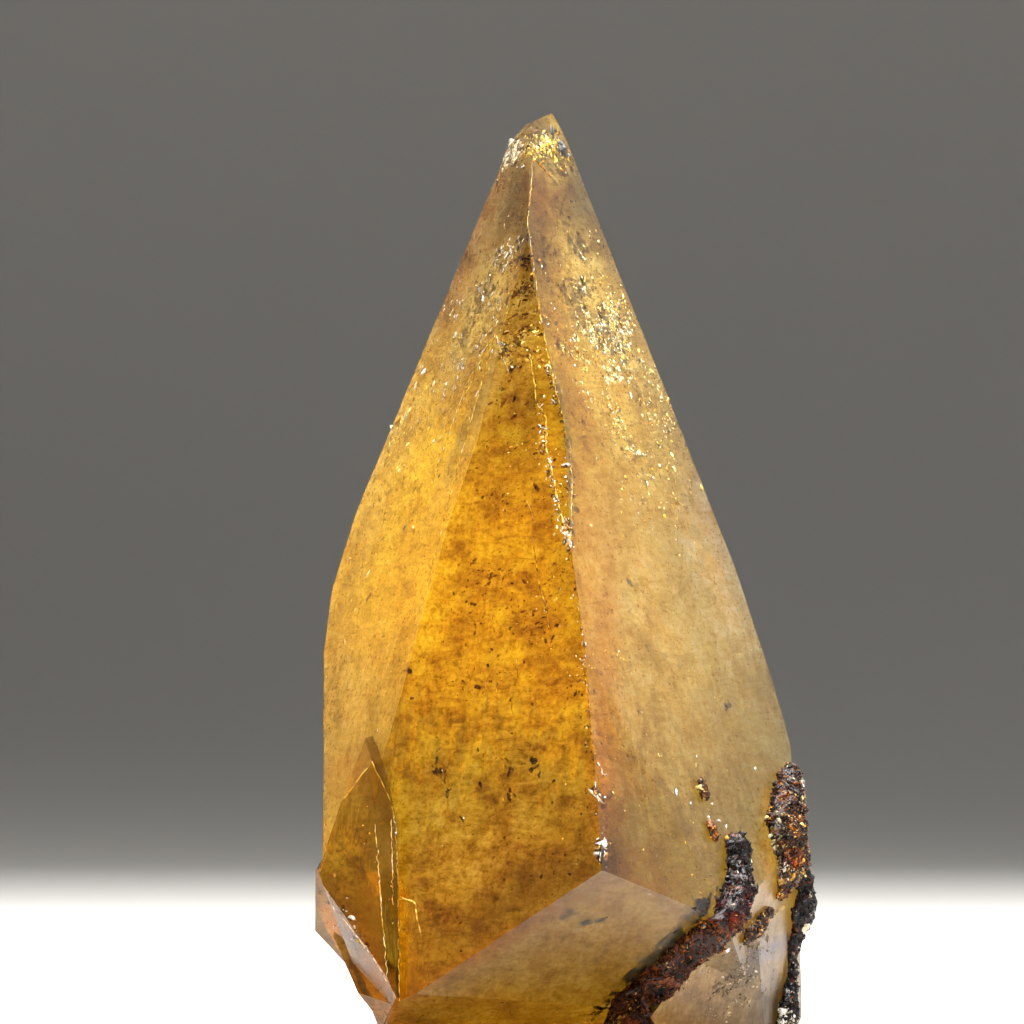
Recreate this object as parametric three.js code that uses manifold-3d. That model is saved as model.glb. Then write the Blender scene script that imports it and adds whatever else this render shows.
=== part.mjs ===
// Golden calcite: one tall six-faced pointed crystal with a small side crystal and a bud grown into its
// lower left, and dark sphalerite grown on its lower right. Millimetres, +Z up. The front looks towards -Y.
// The specimen is cut off flat at the bottom and stands on the cut.

import * as THREE from "three";
import { mergeVertices } from "three/addons/utils/BufferGeometryUtils.js";
import Module from "manifold-3d";

const wasm = await Module();
wasm.setup();

// Driving dimensions.
const HEART_HEIGHT = 45; // height of the point inside the crystal that its faces are measured from
const CUT_HEIGHT = 0; // the flat cut that the specimen stands on
const TOUCH_GAP = 0.3; // space left between the calcite and the sphalerite that grew on it
const BLANK_SIZE = 400; // block that the crystals are cut from, larger than any of them
const SMALLEST_GRAIN = 0.9; // smallest sphalerite grain, as a share of the size stated on its route
const GRAIN_SPREAD = 0.25; // how much larger the largest grain is, as a share of the same size

const COLOURS = {
  calcite: "#d9a441",
  sphalerite: "#2c140b",
  sphaleriteRed: "#6b3112",
  sphaleriteOrange: "#a8661c",
};

// A crystal face looks out at an azimuth (0 is the front, 90 is +X, 180 the back), leans back from the
// vertical by lean (a face that looks downwards has a negative lean), and lies at reach from the heart.
const heart = new THREE.Vector3(0, 0, HEART_HEIGHT);

const pyramidFaces = [
  { name: "front_left", azimuth: -28, lean: 13.8, reach: 20 },
  { name: "left", azimuth: -58, lean: 17, reach: 23.4 },
  { name: "front_right", azimuth: 52, lean: 18, reach: 16.8 },
  { name: "right", azimuth: 92, lean: 21.5, reach: 26.5 },
  { name: "back_right", azimuth: 168, lean: 16, reach: 28.4 },
  { name: "back_left", azimuth: -138, lean: 19.2, reach: 32.8 },
];

// Towards the girdle the faces bend over to the vertical in a few steps.
const shoulderFaces = [
  { name: "front_right_low", azimuth: 46, lean: 15.4, reach: 18.4 },
  { name: "right_high", azimuth: 90, lean: 18.1, reach: 25.8 },
  { name: "right_middle", azimuth: 88, lean: 16.3, reach: 25.7 },
  { name: "right_low", azimuth: 92, lean: 3.1, reach: 28.8 },
  { name: "left_high", azimuth: -110, lean: 14.1, reach: 34.5 },
  { name: "left_middle", azimuth: -104, lean: 1.6, reach: 32.6 },
  { name: "left_low", azimuth: -100, lean: -6.1, reach: 31.8 },
  { name: "back_right_middle", azimuth: 170, lean: 9, reach: 27.3 },
  { name: "back_right_low", azimuth: 171, lean: 2, reach: 28.5 },
  { name: "back_left_middle", azimuth: -143, lean: 9, reach: 32.1 },
  { name: "back_left_low", azimuth: -146, lean: 2, reach: 33.2 },
];

// Below the zigzag girdle the faces turn inwards.
const lowerFaces = [
  { name: "under_front", azimuth: 20.8, lean: -45, reach: 38.1 },
  { name: "under_front_foot", azimuth: 18.5, lean: -57, reach: 41.3 },
  { name: "under_front_left", azimuth: -45, lean: -42, reach: 50.4 },
  { name: "under_right", azimuth: 66, lean: -10, reach: 30.8 },
  { name: "under_left", azimuth: -104, lean: -30.1, reach: 37.8 },
  { name: "under_back_left", azimuth: -160, lean: -40, reach: 42.5 },
  { name: "under_back", azimuth: 175, lean: -38, reach: 39.2 },
  { name: "under_back_right", azimuth: 132, lean: -35, reach: 49.5 },
];

// The point is broken off in two small faces.
const brokenTipFaces = [
  { name: "tip_top", azimuth: -86, lean: 66, reach: 69.2 },
  { name: "tip_left", azimuth: -75, lean: 42, reach: 51.7 },
];

const crystalFaces = [...pyramidFaces, ...shoulderFaces, ...lowerFaces, ...brokenTipFaces];

// Side crystal: slender, pointed at both ends, its back buried in the large one.
const sideHeart = new THREE.Vector3(-26, -13.5, 22);
const sideFaces = [
  { name: "front", azimuth: -14, lean: 9.5, reach: 7.7 },
  { name: "front_right", azimuth: 42, lean: 11.1, reach: 7.4 },
  { name: "left", azimuth: -100, lean: 16.6, reach: 4.5 },
  { name: "front_left_high", azimuth: -50, lean: 30.6, reach: 9.7 },
  { name: "right_high", azimuth: 78, lean: 27.6, reach: 8.2 },
  { name: "right_middle", azimuth: 84, lean: 12.8, reach: 5.5 },
  { name: "right_low", azimuth: 88, lean: 2.1, reach: 4.3 },
  { name: "under_left", azimuth: -60, lean: -23.8, reach: 8.2 },
  { name: "under_far_left", azimuth: -95, lean: -20, reach: 5.1 },
  { name: "under_right", azimuth: 30, lean: -60, reach: 19.6 },
  { name: "back", azimuth: 150, lean: 5, reach: 4 },
];

// Bud: a third crystal, small, that shows as one sharp shoulder at the far left.
const budHeart = new THREE.Vector3(-28, -9.5, 16);
const budFaces = [
  { name: "front", azimuth: -40, lean: -6, reach: 6.5 },
  { name: "left", azimuth: -98, lean: 2, reach: 3.8 },
  { name: "top", azimuth: -80, lean: 55, reach: 7.9 },
  { name: "under_left", azimuth: -85, lean: -42, reach: 4.9 },
  { name: "right", azimuth: 90, lean: 0, reach: 4 },
  { name: "under", azimuth: 0, lean: -80, reach: 8 },
  { name: "back", azimuth: 160, lean: 0, reach: 3 },
];

// Lobe: calcite that swells out at the lower right, beside the sphalerite band.
const lobeHeart = new THREE.Vector3(21, -6, 7);
const lobeFaces = [
  { name: "front", azimuth: 34, lean: -20, reach: 3 },
  { name: "front_right", azimuth: 68, lean: -6, reach: 4.2 },
  { name: "upper_left", azimuth: -38, lean: 27, reach: 10.2 },
  { name: "top", azimuth: 50, lean: 48, reach: 9.1 },
  { name: "right", azimuth: 92, lean: 3, reach: 8 },
  { name: "left", azimuth: -90, lean: 0, reach: 13.2 },
  { name: "back", azimuth: 170, lean: 0, reach: 14 },
];

// Sphalerite follows routes over the calcite's skin. Each stop has an azimuth and a height on the skin,
// and the size of the grains there.
const bandRoute = [
  { azimuth: 61.5, height: 25, size: 2.1 },
  { azimuth: 60, height: 23.2, size: 2.2 },
  { azimuth: 58, height: 21.2, size: 2.3 },
  { azimuth: 56.5, height: 19.4, size: 2.4 },
  { azimuth: 51, height: 17, size: 2.5 },
  { azimuth: 45.5, height: 14.4, size: 2.8 },
  { azimuth: 43, height: 11.8, size: 3 },
  { azimuth: 41.5, height: 9.2, size: 3.1 },
  { azimuth: 38.5, height: 6.6, size: 3.1 },
  { azimuth: 34, height: 4, size: 3.1 },
  { azimuth: 30, height: 1.6, size: 3.2 },
];
const clusterRoute = [
  { azimuth: 94, height: 33.4, size: 2.2 },
  { azimuth: 91, height: 31.6, size: 2.7 },
  { azimuth: 88, height: 29.4, size: 3.2 },
  { azimuth: 84.5, height: 27.2, size: 3.4 },
  { azimuth: 83.5, height: 25, size: 3.4 },
  { azimuth: 83, height: 22.8, size: 3 },
  { azimuth: 82, height: 20.8, size: 2.1 },
  { azimuth: 82, height: 19.2, size: 1.4 },
];
const rimRoute = [
  { azimuth: 96, height: 20.8, size: 1.9 },
  { azimuth: 96, height: 18.4, size: 2.3 },
  { azimuth: 96, height: 16, size: 2.3 },
  { azimuth: 96, height: 13.2, size: 1.8 },
  { azimuth: 95, height: 10.4, size: 1.5 },
  { azimuth: 94, height: 7.6, size: 1.7 },
  { azimuth: 92.5, height: 4.8, size: 2.1 },
  { azimuth: 92, height: 2, size: 2.5 },
];
const rodRoute = [
  { azimuth: 62, height: 13, size: 1 },
  { azimuth: 69, height: 14.6, size: 1.1 },
  { azimuth: 76, height: 16.1, size: 1 },
];
const upperGrainRoute = [
  { azimuth: 52, height: 33, size: 1 },
  { azimuth: 52, height: 31.6, size: 1.2 },
];
const lowerGrainRoute = [
  { azimuth: 51, height: 27.8, size: 0.9 },
  { azimuth: 51.5, height: 26.4, size: 1 },
];

function outwardNormal(azimuthDegrees, leanDegrees) {
  const azimuth = THREE.MathUtils.degToRad(azimuthDegrees);
  const lean = THREE.MathUtils.degToRad(leanDegrees);
  const x = Math.cos(lean) * Math.sin(azimuth);
  const y = -Math.cos(lean) * Math.cos(azimuth);
  return new THREE.Vector3(x, y, Math.sin(lean));
}

function toSolid(geometry) {
  const bare = geometry.clone();
  bare.deleteAttribute("normal");
  bare.deleteAttribute("uv");
  const merged = mergeVertices(bare, 1e-4);
  const mesh = new wasm.Mesh({
    numProp: 3,
    vertProperties: new Float32Array(merged.attributes.position.array),
    triVerts: new Uint32Array(merged.index.array),
  });
  return new wasm.Manifold(mesh);
}

function toGeometry(solid) {
  const mesh = solid.getMesh();
  const geometry = new THREE.BufferGeometry();
  geometry.setAttribute("position", new THREE.BufferAttribute(mesh.vertProperties, 3));
  geometry.setIndex(new THREE.BufferAttribute(mesh.triVerts, 1));
  geometry.computeVertexNormals();
  return geometry;
}

// Everything beyond one crystal face: a block that lies against the face from outside.
function beyondFace(face, centre, growth) {
  const normal = outwardNormal(face.azimuth, face.lean);
  const block = new THREE.BoxGeometry(BLANK_SIZE, BLANK_SIZE, BLANK_SIZE);
  block.translate(0, 0, face.reach + growth + BLANK_SIZE / 2);
  const turn = new THREE.Quaternion().setFromUnitVectors(new THREE.Vector3(0, 0, 1), normal);
  block.applyQuaternion(turn);
  block.translate(centre.x, centre.y, centre.z);
  return toSolid(block);
}

function crystalSolid(faces, centre, growth = 0) {
  const blank = new THREE.BoxGeometry(BLANK_SIZE / 2, BLANK_SIZE / 2, BLANK_SIZE / 2);
  blank.translate(centre.x, centre.y, centre.z);
  let solid = toSolid(blank);
  for (const face of faces) {
    solid = solid.subtract(beyondFace(face, centre, growth));
  }
  return solid;
}

function belowCut() {
  const block = new THREE.BoxGeometry(BLANK_SIZE, BLANK_SIZE, BLANK_SIZE);
  block.translate(0, 0, CUT_HEIGHT - BLANK_SIZE / 2);
  return toSolid(block);
}

function calciteSolid(growth = 0) {
  const large = crystalSolid(crystalFaces, heart, growth);
  const side = crystalSolid(sideFaces, sideHeart, growth);
  const bud = crystalSolid(budFaces, budHeart, growth);
  const lobe = crystalSolid(lobeFaces, lobeHeart, growth);
  return large.add(side).add(bud).add(lobe).subtract(belowCut());
}

// How far along a line the line leaves a crystal, or 0 where it misses the crystal.
function exitDistance(faces, centre, start, direction) {
  let enter = 0;
  let exit = Infinity;
  for (const face of faces) {
    const normal = outwardNormal(face.azimuth, face.lean);
    const toFace = face.reach - normal.dot(start.clone().sub(centre));
    const approach = normal.dot(direction);
    if (approach > 0) {
      exit = Math.min(exit, toFace / approach);
    } else {
      enter = Math.max(enter, toFace / approach);
    }
  }
  return enter < exit ? exit : 0;
}

// The point where a level line from the upright axis, at an azimuth and a height, leaves the calcite.
function skinPoint(azimuth, height) {
  const start = new THREE.Vector3(0, 0, height);
  const outward = outwardNormal(azimuth, 0);
  const fromLarge = exitDistance(crystalFaces, heart, start, outward);
  const fromLobe = exitDistance(lobeFaces, lobeHeart, start, outward);
  return start.addScaledVector(outward, Math.max(fromLarge, fromLobe));
}

// Repeatable random numbers, so that every build gives the same grains.
function randomSource(seed) {
  let state = seed;
  return () => {
    state = (state * 16807) % 2147483647;
    return state / 2147483647;
  };
}

function grainGeometry(size, random) {
  const grain = new THREE.DodecahedronGeometry(size);
  grain.rotateX(random() * Math.PI);
  grain.rotateY(random() * Math.PI);
  grain.rotateZ(random() * Math.PI);
  return grain;
}

// The stop that lies a fraction of the way along a route.
function stopAlong(route, fraction) {
  const position = fraction * (route.length - 1);
  const first = Math.min(Math.floor(position), route.length - 2);
  const part = position - first;
  return {
    azimuth: THREE.MathUtils.lerp(route[first].azimuth, route[first + 1].azimuth, part),
    height: THREE.MathUtils.lerp(route[first].height, route[first + 1].height, part),
    size: THREE.MathUtils.lerp(route[first].size, route[first + 1].size, part),
  };
}

// Overlapping grains along a route, cut back where they would run into the calcite.
function sphaleriteSolid(route, grainCount, seed) {
  const random = randomSource(seed);
  let solid = null;
  for (let i = 0; i < grainCount; i += 1) {
    const stop = stopAlong(route, i / (grainCount - 1));
    const place = skinPoint(stop.azimuth, stop.height);
    const size = stop.size * (SMALLEST_GRAIN + GRAIN_SPREAD * random());
    const grain = grainGeometry(size, random);
    grain.translate(place.x, place.y, place.z);
    solid = solid ? solid.add(toSolid(grain)) : toSolid(grain);
  }
  return solid.subtract(calciteSolid(TOUCH_GAP)).subtract(belowCut());
}

function namedMesh(name, solid, colour, roughness) {
  const material = new THREE.MeshStandardMaterial({ color: colour, roughness, metalness: 0 });
  const mesh = new THREE.Mesh(toGeometry(solid), material);
  mesh.name = name;
  return mesh;
}

const specimen = new THREE.Group();
specimen.add(namedMesh("calcite_crystal", calciteSolid(), COLOURS.calcite, 0.15));
specimen.add(namedMesh("sphalerite_band", sphaleriteSolid(bandRoute, 30, 11), COLOURS.sphalerite, 0.35));
specimen.add(namedMesh("sphalerite_cluster", sphaleriteSolid(clusterRoute, 22, 23), COLOURS.sphalerite, 0.35));
specimen.add(namedMesh("sphalerite_rim", sphaleriteSolid(rimRoute, 15, 37), COLOURS.sphalerite, 0.3));
specimen.add(namedMesh("sphalerite_rod", sphaleriteSolid(rodRoute, 10, 41), COLOURS.sphaleriteRed, 0.35));
specimen.add(namedMesh("sphalerite_grain_upper", sphaleriteSolid(upperGrainRoute, 3, 53), COLOURS.sphaleriteRed, 0.3));
specimen.add(namedMesh("sphalerite_grain_lower", sphaleriteSolid(lowerGrainRoute, 3, 67), COLOURS.sphaleriteOrange, 0.3));

// The origin is under the middle of the specimen, on the cut.
const bounds = new THREE.Box3().setFromObject(specimen);
const middle = bounds.getCenter(new THREE.Vector3());
specimen.position.set(-middle.x, -middle.y, -bounds.min.z);

export default specimen;
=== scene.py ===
"""Golden calcite crystal with a side crystal and sphalerite at its foot, as a Blender add-on script."""

import itertools
import math

import bpy
import numpy as np
from bpy.props import FloatProperty, FloatVectorProperty, PointerProperty
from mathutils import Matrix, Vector


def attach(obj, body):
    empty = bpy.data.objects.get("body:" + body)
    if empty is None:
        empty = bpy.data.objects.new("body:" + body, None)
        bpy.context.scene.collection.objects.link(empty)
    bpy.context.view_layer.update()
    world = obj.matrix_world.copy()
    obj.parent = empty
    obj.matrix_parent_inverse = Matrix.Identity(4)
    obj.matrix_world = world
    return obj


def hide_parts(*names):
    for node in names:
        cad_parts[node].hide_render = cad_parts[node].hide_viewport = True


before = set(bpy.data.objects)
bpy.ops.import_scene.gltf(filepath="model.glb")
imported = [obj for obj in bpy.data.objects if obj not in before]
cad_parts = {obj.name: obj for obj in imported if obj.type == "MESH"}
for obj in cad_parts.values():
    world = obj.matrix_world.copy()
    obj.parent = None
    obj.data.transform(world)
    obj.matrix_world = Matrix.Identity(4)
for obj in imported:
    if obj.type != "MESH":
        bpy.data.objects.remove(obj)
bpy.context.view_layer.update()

bl_info = {
    "name": "Golden calcite crystal",
    "version": (1, 0, 0),
    "blender": (4, 5, 0),
    "location": "View3D > Sidebar > Crystal",
    "description": "Builds a golden calcite crystal, what is sealed in it and the sphalerite on it",
    "category": "Object",
}

MM = 0.001
# The low growth hills on a face: their width in millimetres, their height against the relief, and a
# number that keeps their random values apart.
HILLS = ((14.0, 1.0, 0), (5.0, 0.4, 50), (1.9, 0.15, 90))
# The rows of a face's grid: how wide one is against the spacing along the outline, the fewest and
# the most of them, and the power that crowds them towards the edge.
ROW_WIDTH, FEWEST_ROWS, MOST_ROWS, CROWDING = 1.4, 3, 16, 1.3
# In millimetres: how far from a face's edge the relief comes in, how far all points wander and in
# waves of what width, and the width of the worn places on the edges.
FADE, WANDER, WANDER_WIDTH, WEAR_WIDTH = 1.2, 0.07, 6.0, 1.1
# How much being level with a face counts against lying a millimetre from it.
LEVEL_WEIGHT = 8
# This keeps the random values of the bodies and wedges apart.
SEED_STEP = 1000
# A depth that nothing reaches, and a hair: anything smaller counts as nothing.
FAR, HAIR = 1e9, 1e-6
# Each small angular body has this many corners and triangles.
SHARD_CORNERS, SHARD_FACES = 8, 12

# Crystal faces: the way each looks out (degrees round from the front, positive to the right), how
# far it leans back, how far it lies from the crystal's heart in millimetres, and its kind, which
# says how it has grown or broken.
LARGE_HEART = (-0.05, 0, 45)
LARGE_FACES = [
    (-28, 13.8, 20.0, "amber"), (-58, 17, 23.4, "left"), (52, 18, 16.8, "right"),
    (92, 21.5, 26.5, "right"), (168, 16, 28.4, "back"), (-138, 19.2, 32.8, "back"),
    (46, 15.4, 18.4, "right"), (90, 18.1, 25.8, "right"), (88, 16.3, 25.7, "right"),
    (92, 3.1, 28.8, "right"), (-110, 14.1, 34.5, "back"), (-104, 1.6, 32.6, "back"),
    (-100, -6.1, 31.8, "back"), (170, 9, 27.3, "back"), (171, 2, 28.5, "back"), (-143, 9, 32.1, "back"),
    (-146, 2, 33.2, "back"), (20.8, -45, 38.1, "foot"), (18.5, -57, 41.3, "under"),
    (-45, -42, 50.4, "under"), (66, -10, 30.8, "foot"), (-104, -30.1, 37.8, "left"),
    (-160, -40, 42.5, "side"), (175, -38, 39.2, "back"), (132, -35, 49.5, "back"),
    (-86, 66, 69.2, "broken"), (-75, 42, 51.7, "broken"),
]
# Shallow flats along two of the large crystal's edges, where it was bruised: each is a wedge that is
# taken out, and its first two faces look into the crystal. They are given from the large heart.
FLATS = [
    [(191.8, -16.3, -20.04, "ridge"), (191.2, -24.5, -24.2, "ridge"),
     (11.5, 20, 30, "ridge"), (101.5, 0, 20, "ridge"), (-78.5, 0, 20, "ridge")],
    [(124.6, -15.5, -22.3, "strip"), (124.8, -18.6, -23.77, "strip"),
     (-55, 17, 30, "strip"), (35, 0, 30, "strip"), (-145, 0, 30, "strip")],
]
SIDE_HEART = (-26.05, -13.5, 22)
SIDE_FACES = [
    (-14, 9.5, 7.7, "side"), (42, 11.1, 7.4, "side"), (-100, 16.6, 4.5, "side"),
    (-50, 30.6, 9.7, "side"), (78, 27.6, 8.2, "side"), (84, 12.8, 5.5, "side"), (88, 2.1, 4.3, "side"),
    (-60, -23.8, 8.2, "rind"), (-95, -20, 5.1, "rind"), (30, -60, 19.6, "side"), (150, 5, 4, "side"),
]
BUD_HEART = (-28.05, -9.5, 16)
BUD_FACES = [
    (-40, -6, 6.5, "bud"), (-98, 2, 3.8, "bud"), (-80, 55, 7.9, "bud"), (-85, -42, 4.9, "bud"),
    (90, 0, 2, "side"), (0, -80, 8, "side"), (160, 0, 3, "back"),
]
LOBE_HEART = (20.95, -6, 7)
LOBE_FACES = [
    (34, -20, 3, "foot"), (68, -6, 4.2, "foot"), (-38, 27, 10.2, "foot"), (50, 48, 9.1, "foot"),
    (92, 3, 8, "right"), (-90, 0, 13.2, "foot"), (170, 0, 14, "back"),
]
BODIES = [
    (LARGE_HEART, LARGE_FACES), (SIDE_HEART, SIDE_FACES), (BUD_HEART, BUD_FACES),
    (LOBE_HEART, LOBE_FACES),
]
# For each kind of face: its share of the amber, left, side and foot tints (with none of them it has
# the right-hand tint), and how rough it is.
KINDS = {
    "amber": (1, 0, 0, 0, 0.16), "left": (0, 1, 0, 0, 0.30), "right": (0, 0, 0, 0, 0.32),
    "back": (0, 0, 0, 0, 0.9), "foot": (0, 0, 0, 1, 0.36), "under": (0.5, 0, 0, 0.5, 0.3),
    "broken": (0, 0.6, 0, 0, 0.22), "ridge": (1, 0, 0, 0, 0.12), "strip": (0, 1, 0, 0, 0.3),
    "side": (0, 0, 1, 0, 0.14), "bud": (0.3, 0, 0.4, 0, 0.2),
    "rind": (0, 0, 0.7, 0.2, 0.3), "cut": (0, 0, 0, 0, 0.7),
}
# Soft-edged stains inside the stone, seen through the faces: middle across and up, long and short
# spread, turn of the long way in degrees from level, and strength. Across is measured from the large
# crystal's upright axis. Not all are stains: the crack shine is painted shine, the violet sheen is a
# painted reflection, and the smoke is partly painted shade.
STAINS = {
    "brown": [
        (-10, 59.2, 2.6, 1.8, 10, 0.9), (-4.2, 54, 2.4, 1.8, 40, 0.8), (-6, 69.6, 3.4, 1.3, 5, 0.5),
        (-12, 48, 4, 2.4, 0, 0.35), (-3, 45, 4, 2, 70, 0.35), (-6.1, 100.3, 1.6, 0.6, 0, 1.0),
        (-6.1, 96.7, 1.9, 0.6, 0, 0.9), (-1.6, 58, 3.5, 1, 80, 0.6), (4.4, 36, 8, 1.3, 88, 0.75),
        (4.8, 52, 10, 1.3, 86, 0.55), (-3.2, 91, 5, 0.9, 105, 0.5), (-12, 106, 6, 1.6, 66, 0.35),
        # The brown line at (-7.8, 13.7), along the edge above the lower faces, is a painted shade line.
        (-7.8, 13.7, 8, 0.7, 32, 0.8), (-4.8, 76, 4, 1.6, 100, 0.4), (-1.8, 24, 5, 1.2, 60, 0.5),
        (-28.4, 35, 2.4, 1.6, 50, 0.9), (0.6, 87, 7, 0.5, 106, 0.8), (-2.4, 104, 7, 1.1, 102, 0.8),
        (-27.2, 12, 6, 1.2, 118, 0.7), (-24, 4, 3, 2, 120, 0.5), (-3, 112, 2, 0.5, 125, 0.8),
    ],
    "olive": [
        (-7.2, 81, 5, 3, 60, 0.6), (-0.6, 80, 6, 1.1, 100, 0.9), (-0.2, 68, 6, 1.1, 88, 0.9),
        (0.9, 56, 6, 1.2, 96, 0.6), (-5.6, 93, 4, 2, 75, 0.5), (-12, 20, 6, 4, 20, 0.3),
        (-4, 24, 5, 3, 50, 0.35),
    ],
    "milky": [
        (-10.4, 84, 4.5, 0.9, 66, 0.9), (-14.6, 74.5, 4, 0.9, 66, 0.7), (-28, 43, 8, 3, 86, 0.7),
        (-11, 24, 7, 4.5, 0, 0.35), (-9.5, 106, 6, 1.6, 66, 0.4), (-10.5, 95.5, 5, 1.2, 66, 0.6),
        (-13, 78, 8, 0.8, 66, 0.7), (19, 60, 6, 1.4, 110, 0.5), (11, 57, 10, 1.6, 107, 0.3),
        (-8.2, 88.2, 1.8, 0.35, 118, 1.0), (26.4, 25, 4, 0.8, 90, 0.5),
    ],
    "gold": [
        (3.2, 96, 5, 2.4, 112, 0.9), (6.5, 86, 6, 3.4, 112, 0.6), (9.5, 77, 5, 3.5, 112, 0.3),
        (-22, 72, 7, 3, 66, 1.0), (-25.5, 60, 7, 2.4, 78, 0.8), (-15, 65, 6, 1.6, 72, 0.5),
        (-19, 55, 7, 1.8, 77, 0.4), (-5.5, 88.5, 2.4, 1.6, 0, 0.6), (-20.5, 83, 5, 2, 66, 0.9),
        (-2.2, 114.8, 2, 1.3, 0, 1.0), (-28.8, 24, 4, 1.6, 80, 0.4), (-14.6, 78.6, 8, 0.5, 66, 1.0),
        (-1.9, 118.6, 1.2, 0.7, 115, 1.0),
    ],
    # Painted shine of crumpled cleavage cracks: bright and dark folds.
    "painted_crack_shine": [
        (2.0, 97.8, 4, 1.9, 113, 0.9), (3.8, 92.4, 5, 2.6, 113, 0.8), (6.6, 85.6, 6, 3.1, 113, 0.6),
        (9.6, 77.4, 5, 3, 113, 0.3), (-11, 95, 5, 1.4, 66, 0.8), (-13.5, 90, 4, 1.4, 66, 0.6),
        (-2.4, 114.8, 2, 1.2, 120, 0.8), (-6.6, 115.4, 1.4, 0.7, 60, 0.6), (-5.8, 91, 4, 1.4, 85, 0.5),
        (-21.7, 78, 5, 1.6, 66, 0.4), (-25, 67, 6, 1.2, 72, 0.35),
    ],
    # Smoke darkens places; at the lower right of the foot, above the edge of the lower faces and round the
    # side crystal it is painted shade.
    "smoke_and_painted_shade": [
        (-4.5, 19.5, 11, 3.6, 34, 0.85), (0, 24, 4, 3, 80, 0.6), (24, 10, 5, 2.6, 70, 1.0),
        (26.5, 4, 5, 3, 80, 1.0), (19, 4, 4, 2, 30, 0.5), (-7.2, 108, 5, 1.5, 70, 0.8),
        (-5.6, 103, 5, 1, 95, 0.9), (-3.4, 103, 6, 1, 95, 0.7), (-5.5, 79, 4, 1.5, 100, 0.3),
        (21, 78, 6, 1.2, 113, 0.6), (27, 45, 8, 1.2, 100, 0.4), (-19, 3, 5, 1.5, 10, 0.5),
        (-26.5, 36, 3, 2, 60, 0.7), (-27, 12, 6, 1.2, 118, 0.6), (-0.4, 74, 6, 0.9, 98, 0.3),
        (-12.2, 80.4, 6, 0.55, 66, 0.75), (8, 28, 6, 5, 0, 0.3), (20, 30, 8, 4, 90, 0.25),
        (24.6, 6, 4, 4, 0, 0.6), (-7.6, 109.5, 4, 1.6, 66, 0.5), (-2.9, 106, 5, 0.9, 100, 0.6),
    ],
    # The violet patch is a painted sheen: a violet reflection at the lower right, laid into the colour.
    "painted_violet_sheen": [(26.6, 11.4, 2.2, 0.7, 12, 0.9), (29, 12.6, 1.2, 0.6, 20, 0.9)],
}


def linear(text):
    """An sRGB hex colour as linear red, green, blue and alpha."""
    parts = [int(text[i:i + 2], 16) / 255 for i in (1, 3, 5)]
    return (*(c / 12.92 if c <= 0.04045 else ((c + 0.055) / 1.055) ** 2.4 for c in parts), 1.0)


def cloud(points, size, seed):
    """Smooth random values from -1 to 1: each corner of a lattice of the given size has a fixed
    random value, and a point gets the blend of its eight corners along smoothed fractions."""
    cell = np.floor(points / size)
    f = points / size - cell
    f = f * f * (3 - 2 * f)
    cell = cell.astype(np.int64)
    total = np.zeros(len(points))
    for corner in itertools.product((0, 1), repeat=3):
        i = cell + np.array(corner)
        h = (i[:, 0] * 73856093) ^ (i[:, 1] * 19349663) ^ (i[:, 2] * 83492791) ^ (seed * 2654435761)
        h = (h & 0x7fffffff) * 1103515245 % 2147483647
        h = (h ^ (h >> 13)) * 69069 % 2147483647
        w = np.prod(np.where(np.array(corner) == 1, f, 1 - f), axis=1)
        total += w * (h / 1073741823.5 - 1)
    return total


def outward(azimuth, lean):
    """The direction that looks out at an azimuth from the front and leans back by an angle."""
    a, e = np.radians(azimuth), np.radians(lean)
    return np.stack([np.cos(e) * np.sin(a), -np.cos(e) * np.cos(a), np.sin(e)], axis=-1)


def face_planes(heart, faces):
    """Unit normals and distances from the origin of the faces, and of the flat cut at height 0."""
    table = np.array([f[:3] for f in faces], float)
    normals = outward(table[:, 0], table[:, 1])
    distances = table[:, 2] + normals @ np.array(heart, float)
    return np.vstack([normals, (0, 0, -1)]), np.append(distances, 0.0)


def all_planes():
    """The planes of every body's faces and cuts, one after another, with each one's kind."""
    pairs = [face_planes(heart, faces) for heart, faces in BODIES]
    kinds = [k for _, faces in BODIES for k in [f[3] for f in faces] + ["cut"]]
    for faces in FLATS:
        normals, distances = face_planes(LARGE_HEART, faces[:2])
        pairs.append((-normals[:2], -distances[:2]))
        kinds += [f[3] for f in faces[:2]]
    return np.vstack([p for p, _ in pairs]), np.concatenate([d for _, d in pairs]), kinds


def corner_points(normals, distances):
    """Every point where three faces meet and no other face cuts it off, with the faces it lies on."""
    trio = np.array(list(itertools.combinations(range(len(normals)), 3)))
    m = normals[trio]
    keep = np.abs(np.linalg.det(m)) > 1e-5
    p = np.linalg.solve(m[keep], distances[trio][keep][..., None])[..., 0]
    p = p[(p @ normals.T <= distances + HAIR).all(axis=1)]
    p = p[np.unique(np.round(p, 4), axis=0, return_index=True)[1]]
    return p, np.abs(p @ normals.T - distances) < 1e-4


def outline(corners, normal, step):
    """The face's outline as points about a step apart, each edge divided the same way from both sides."""
    middle = corners.mean(axis=0)
    across = np.cross(normal, (0.3, 0.5, 0.81))
    across /= np.linalg.norm(across)
    up = np.cross(normal, across)
    turn = np.argsort(np.arctan2((corners - middle) @ up, (corners - middle) @ across))
    corners = corners[turn]
    parts = []
    for a, b in zip(corners, np.roll(corners, -1, axis=0)):
        forward = tuple(np.round(a, 3)) < tuple(np.round(b, 3))
        first, last = (a, b) if forward else (b, a)
        count = max(1, math.ceil(np.linalg.norm(b - a) / step))
        t = np.linspace(0, 1, count + 1)[:, None]
        line = first * (1 - t) + last * t
        parts.append((line if forward else line[::-1])[:-1])
    return np.vstack(parts), middle


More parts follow.
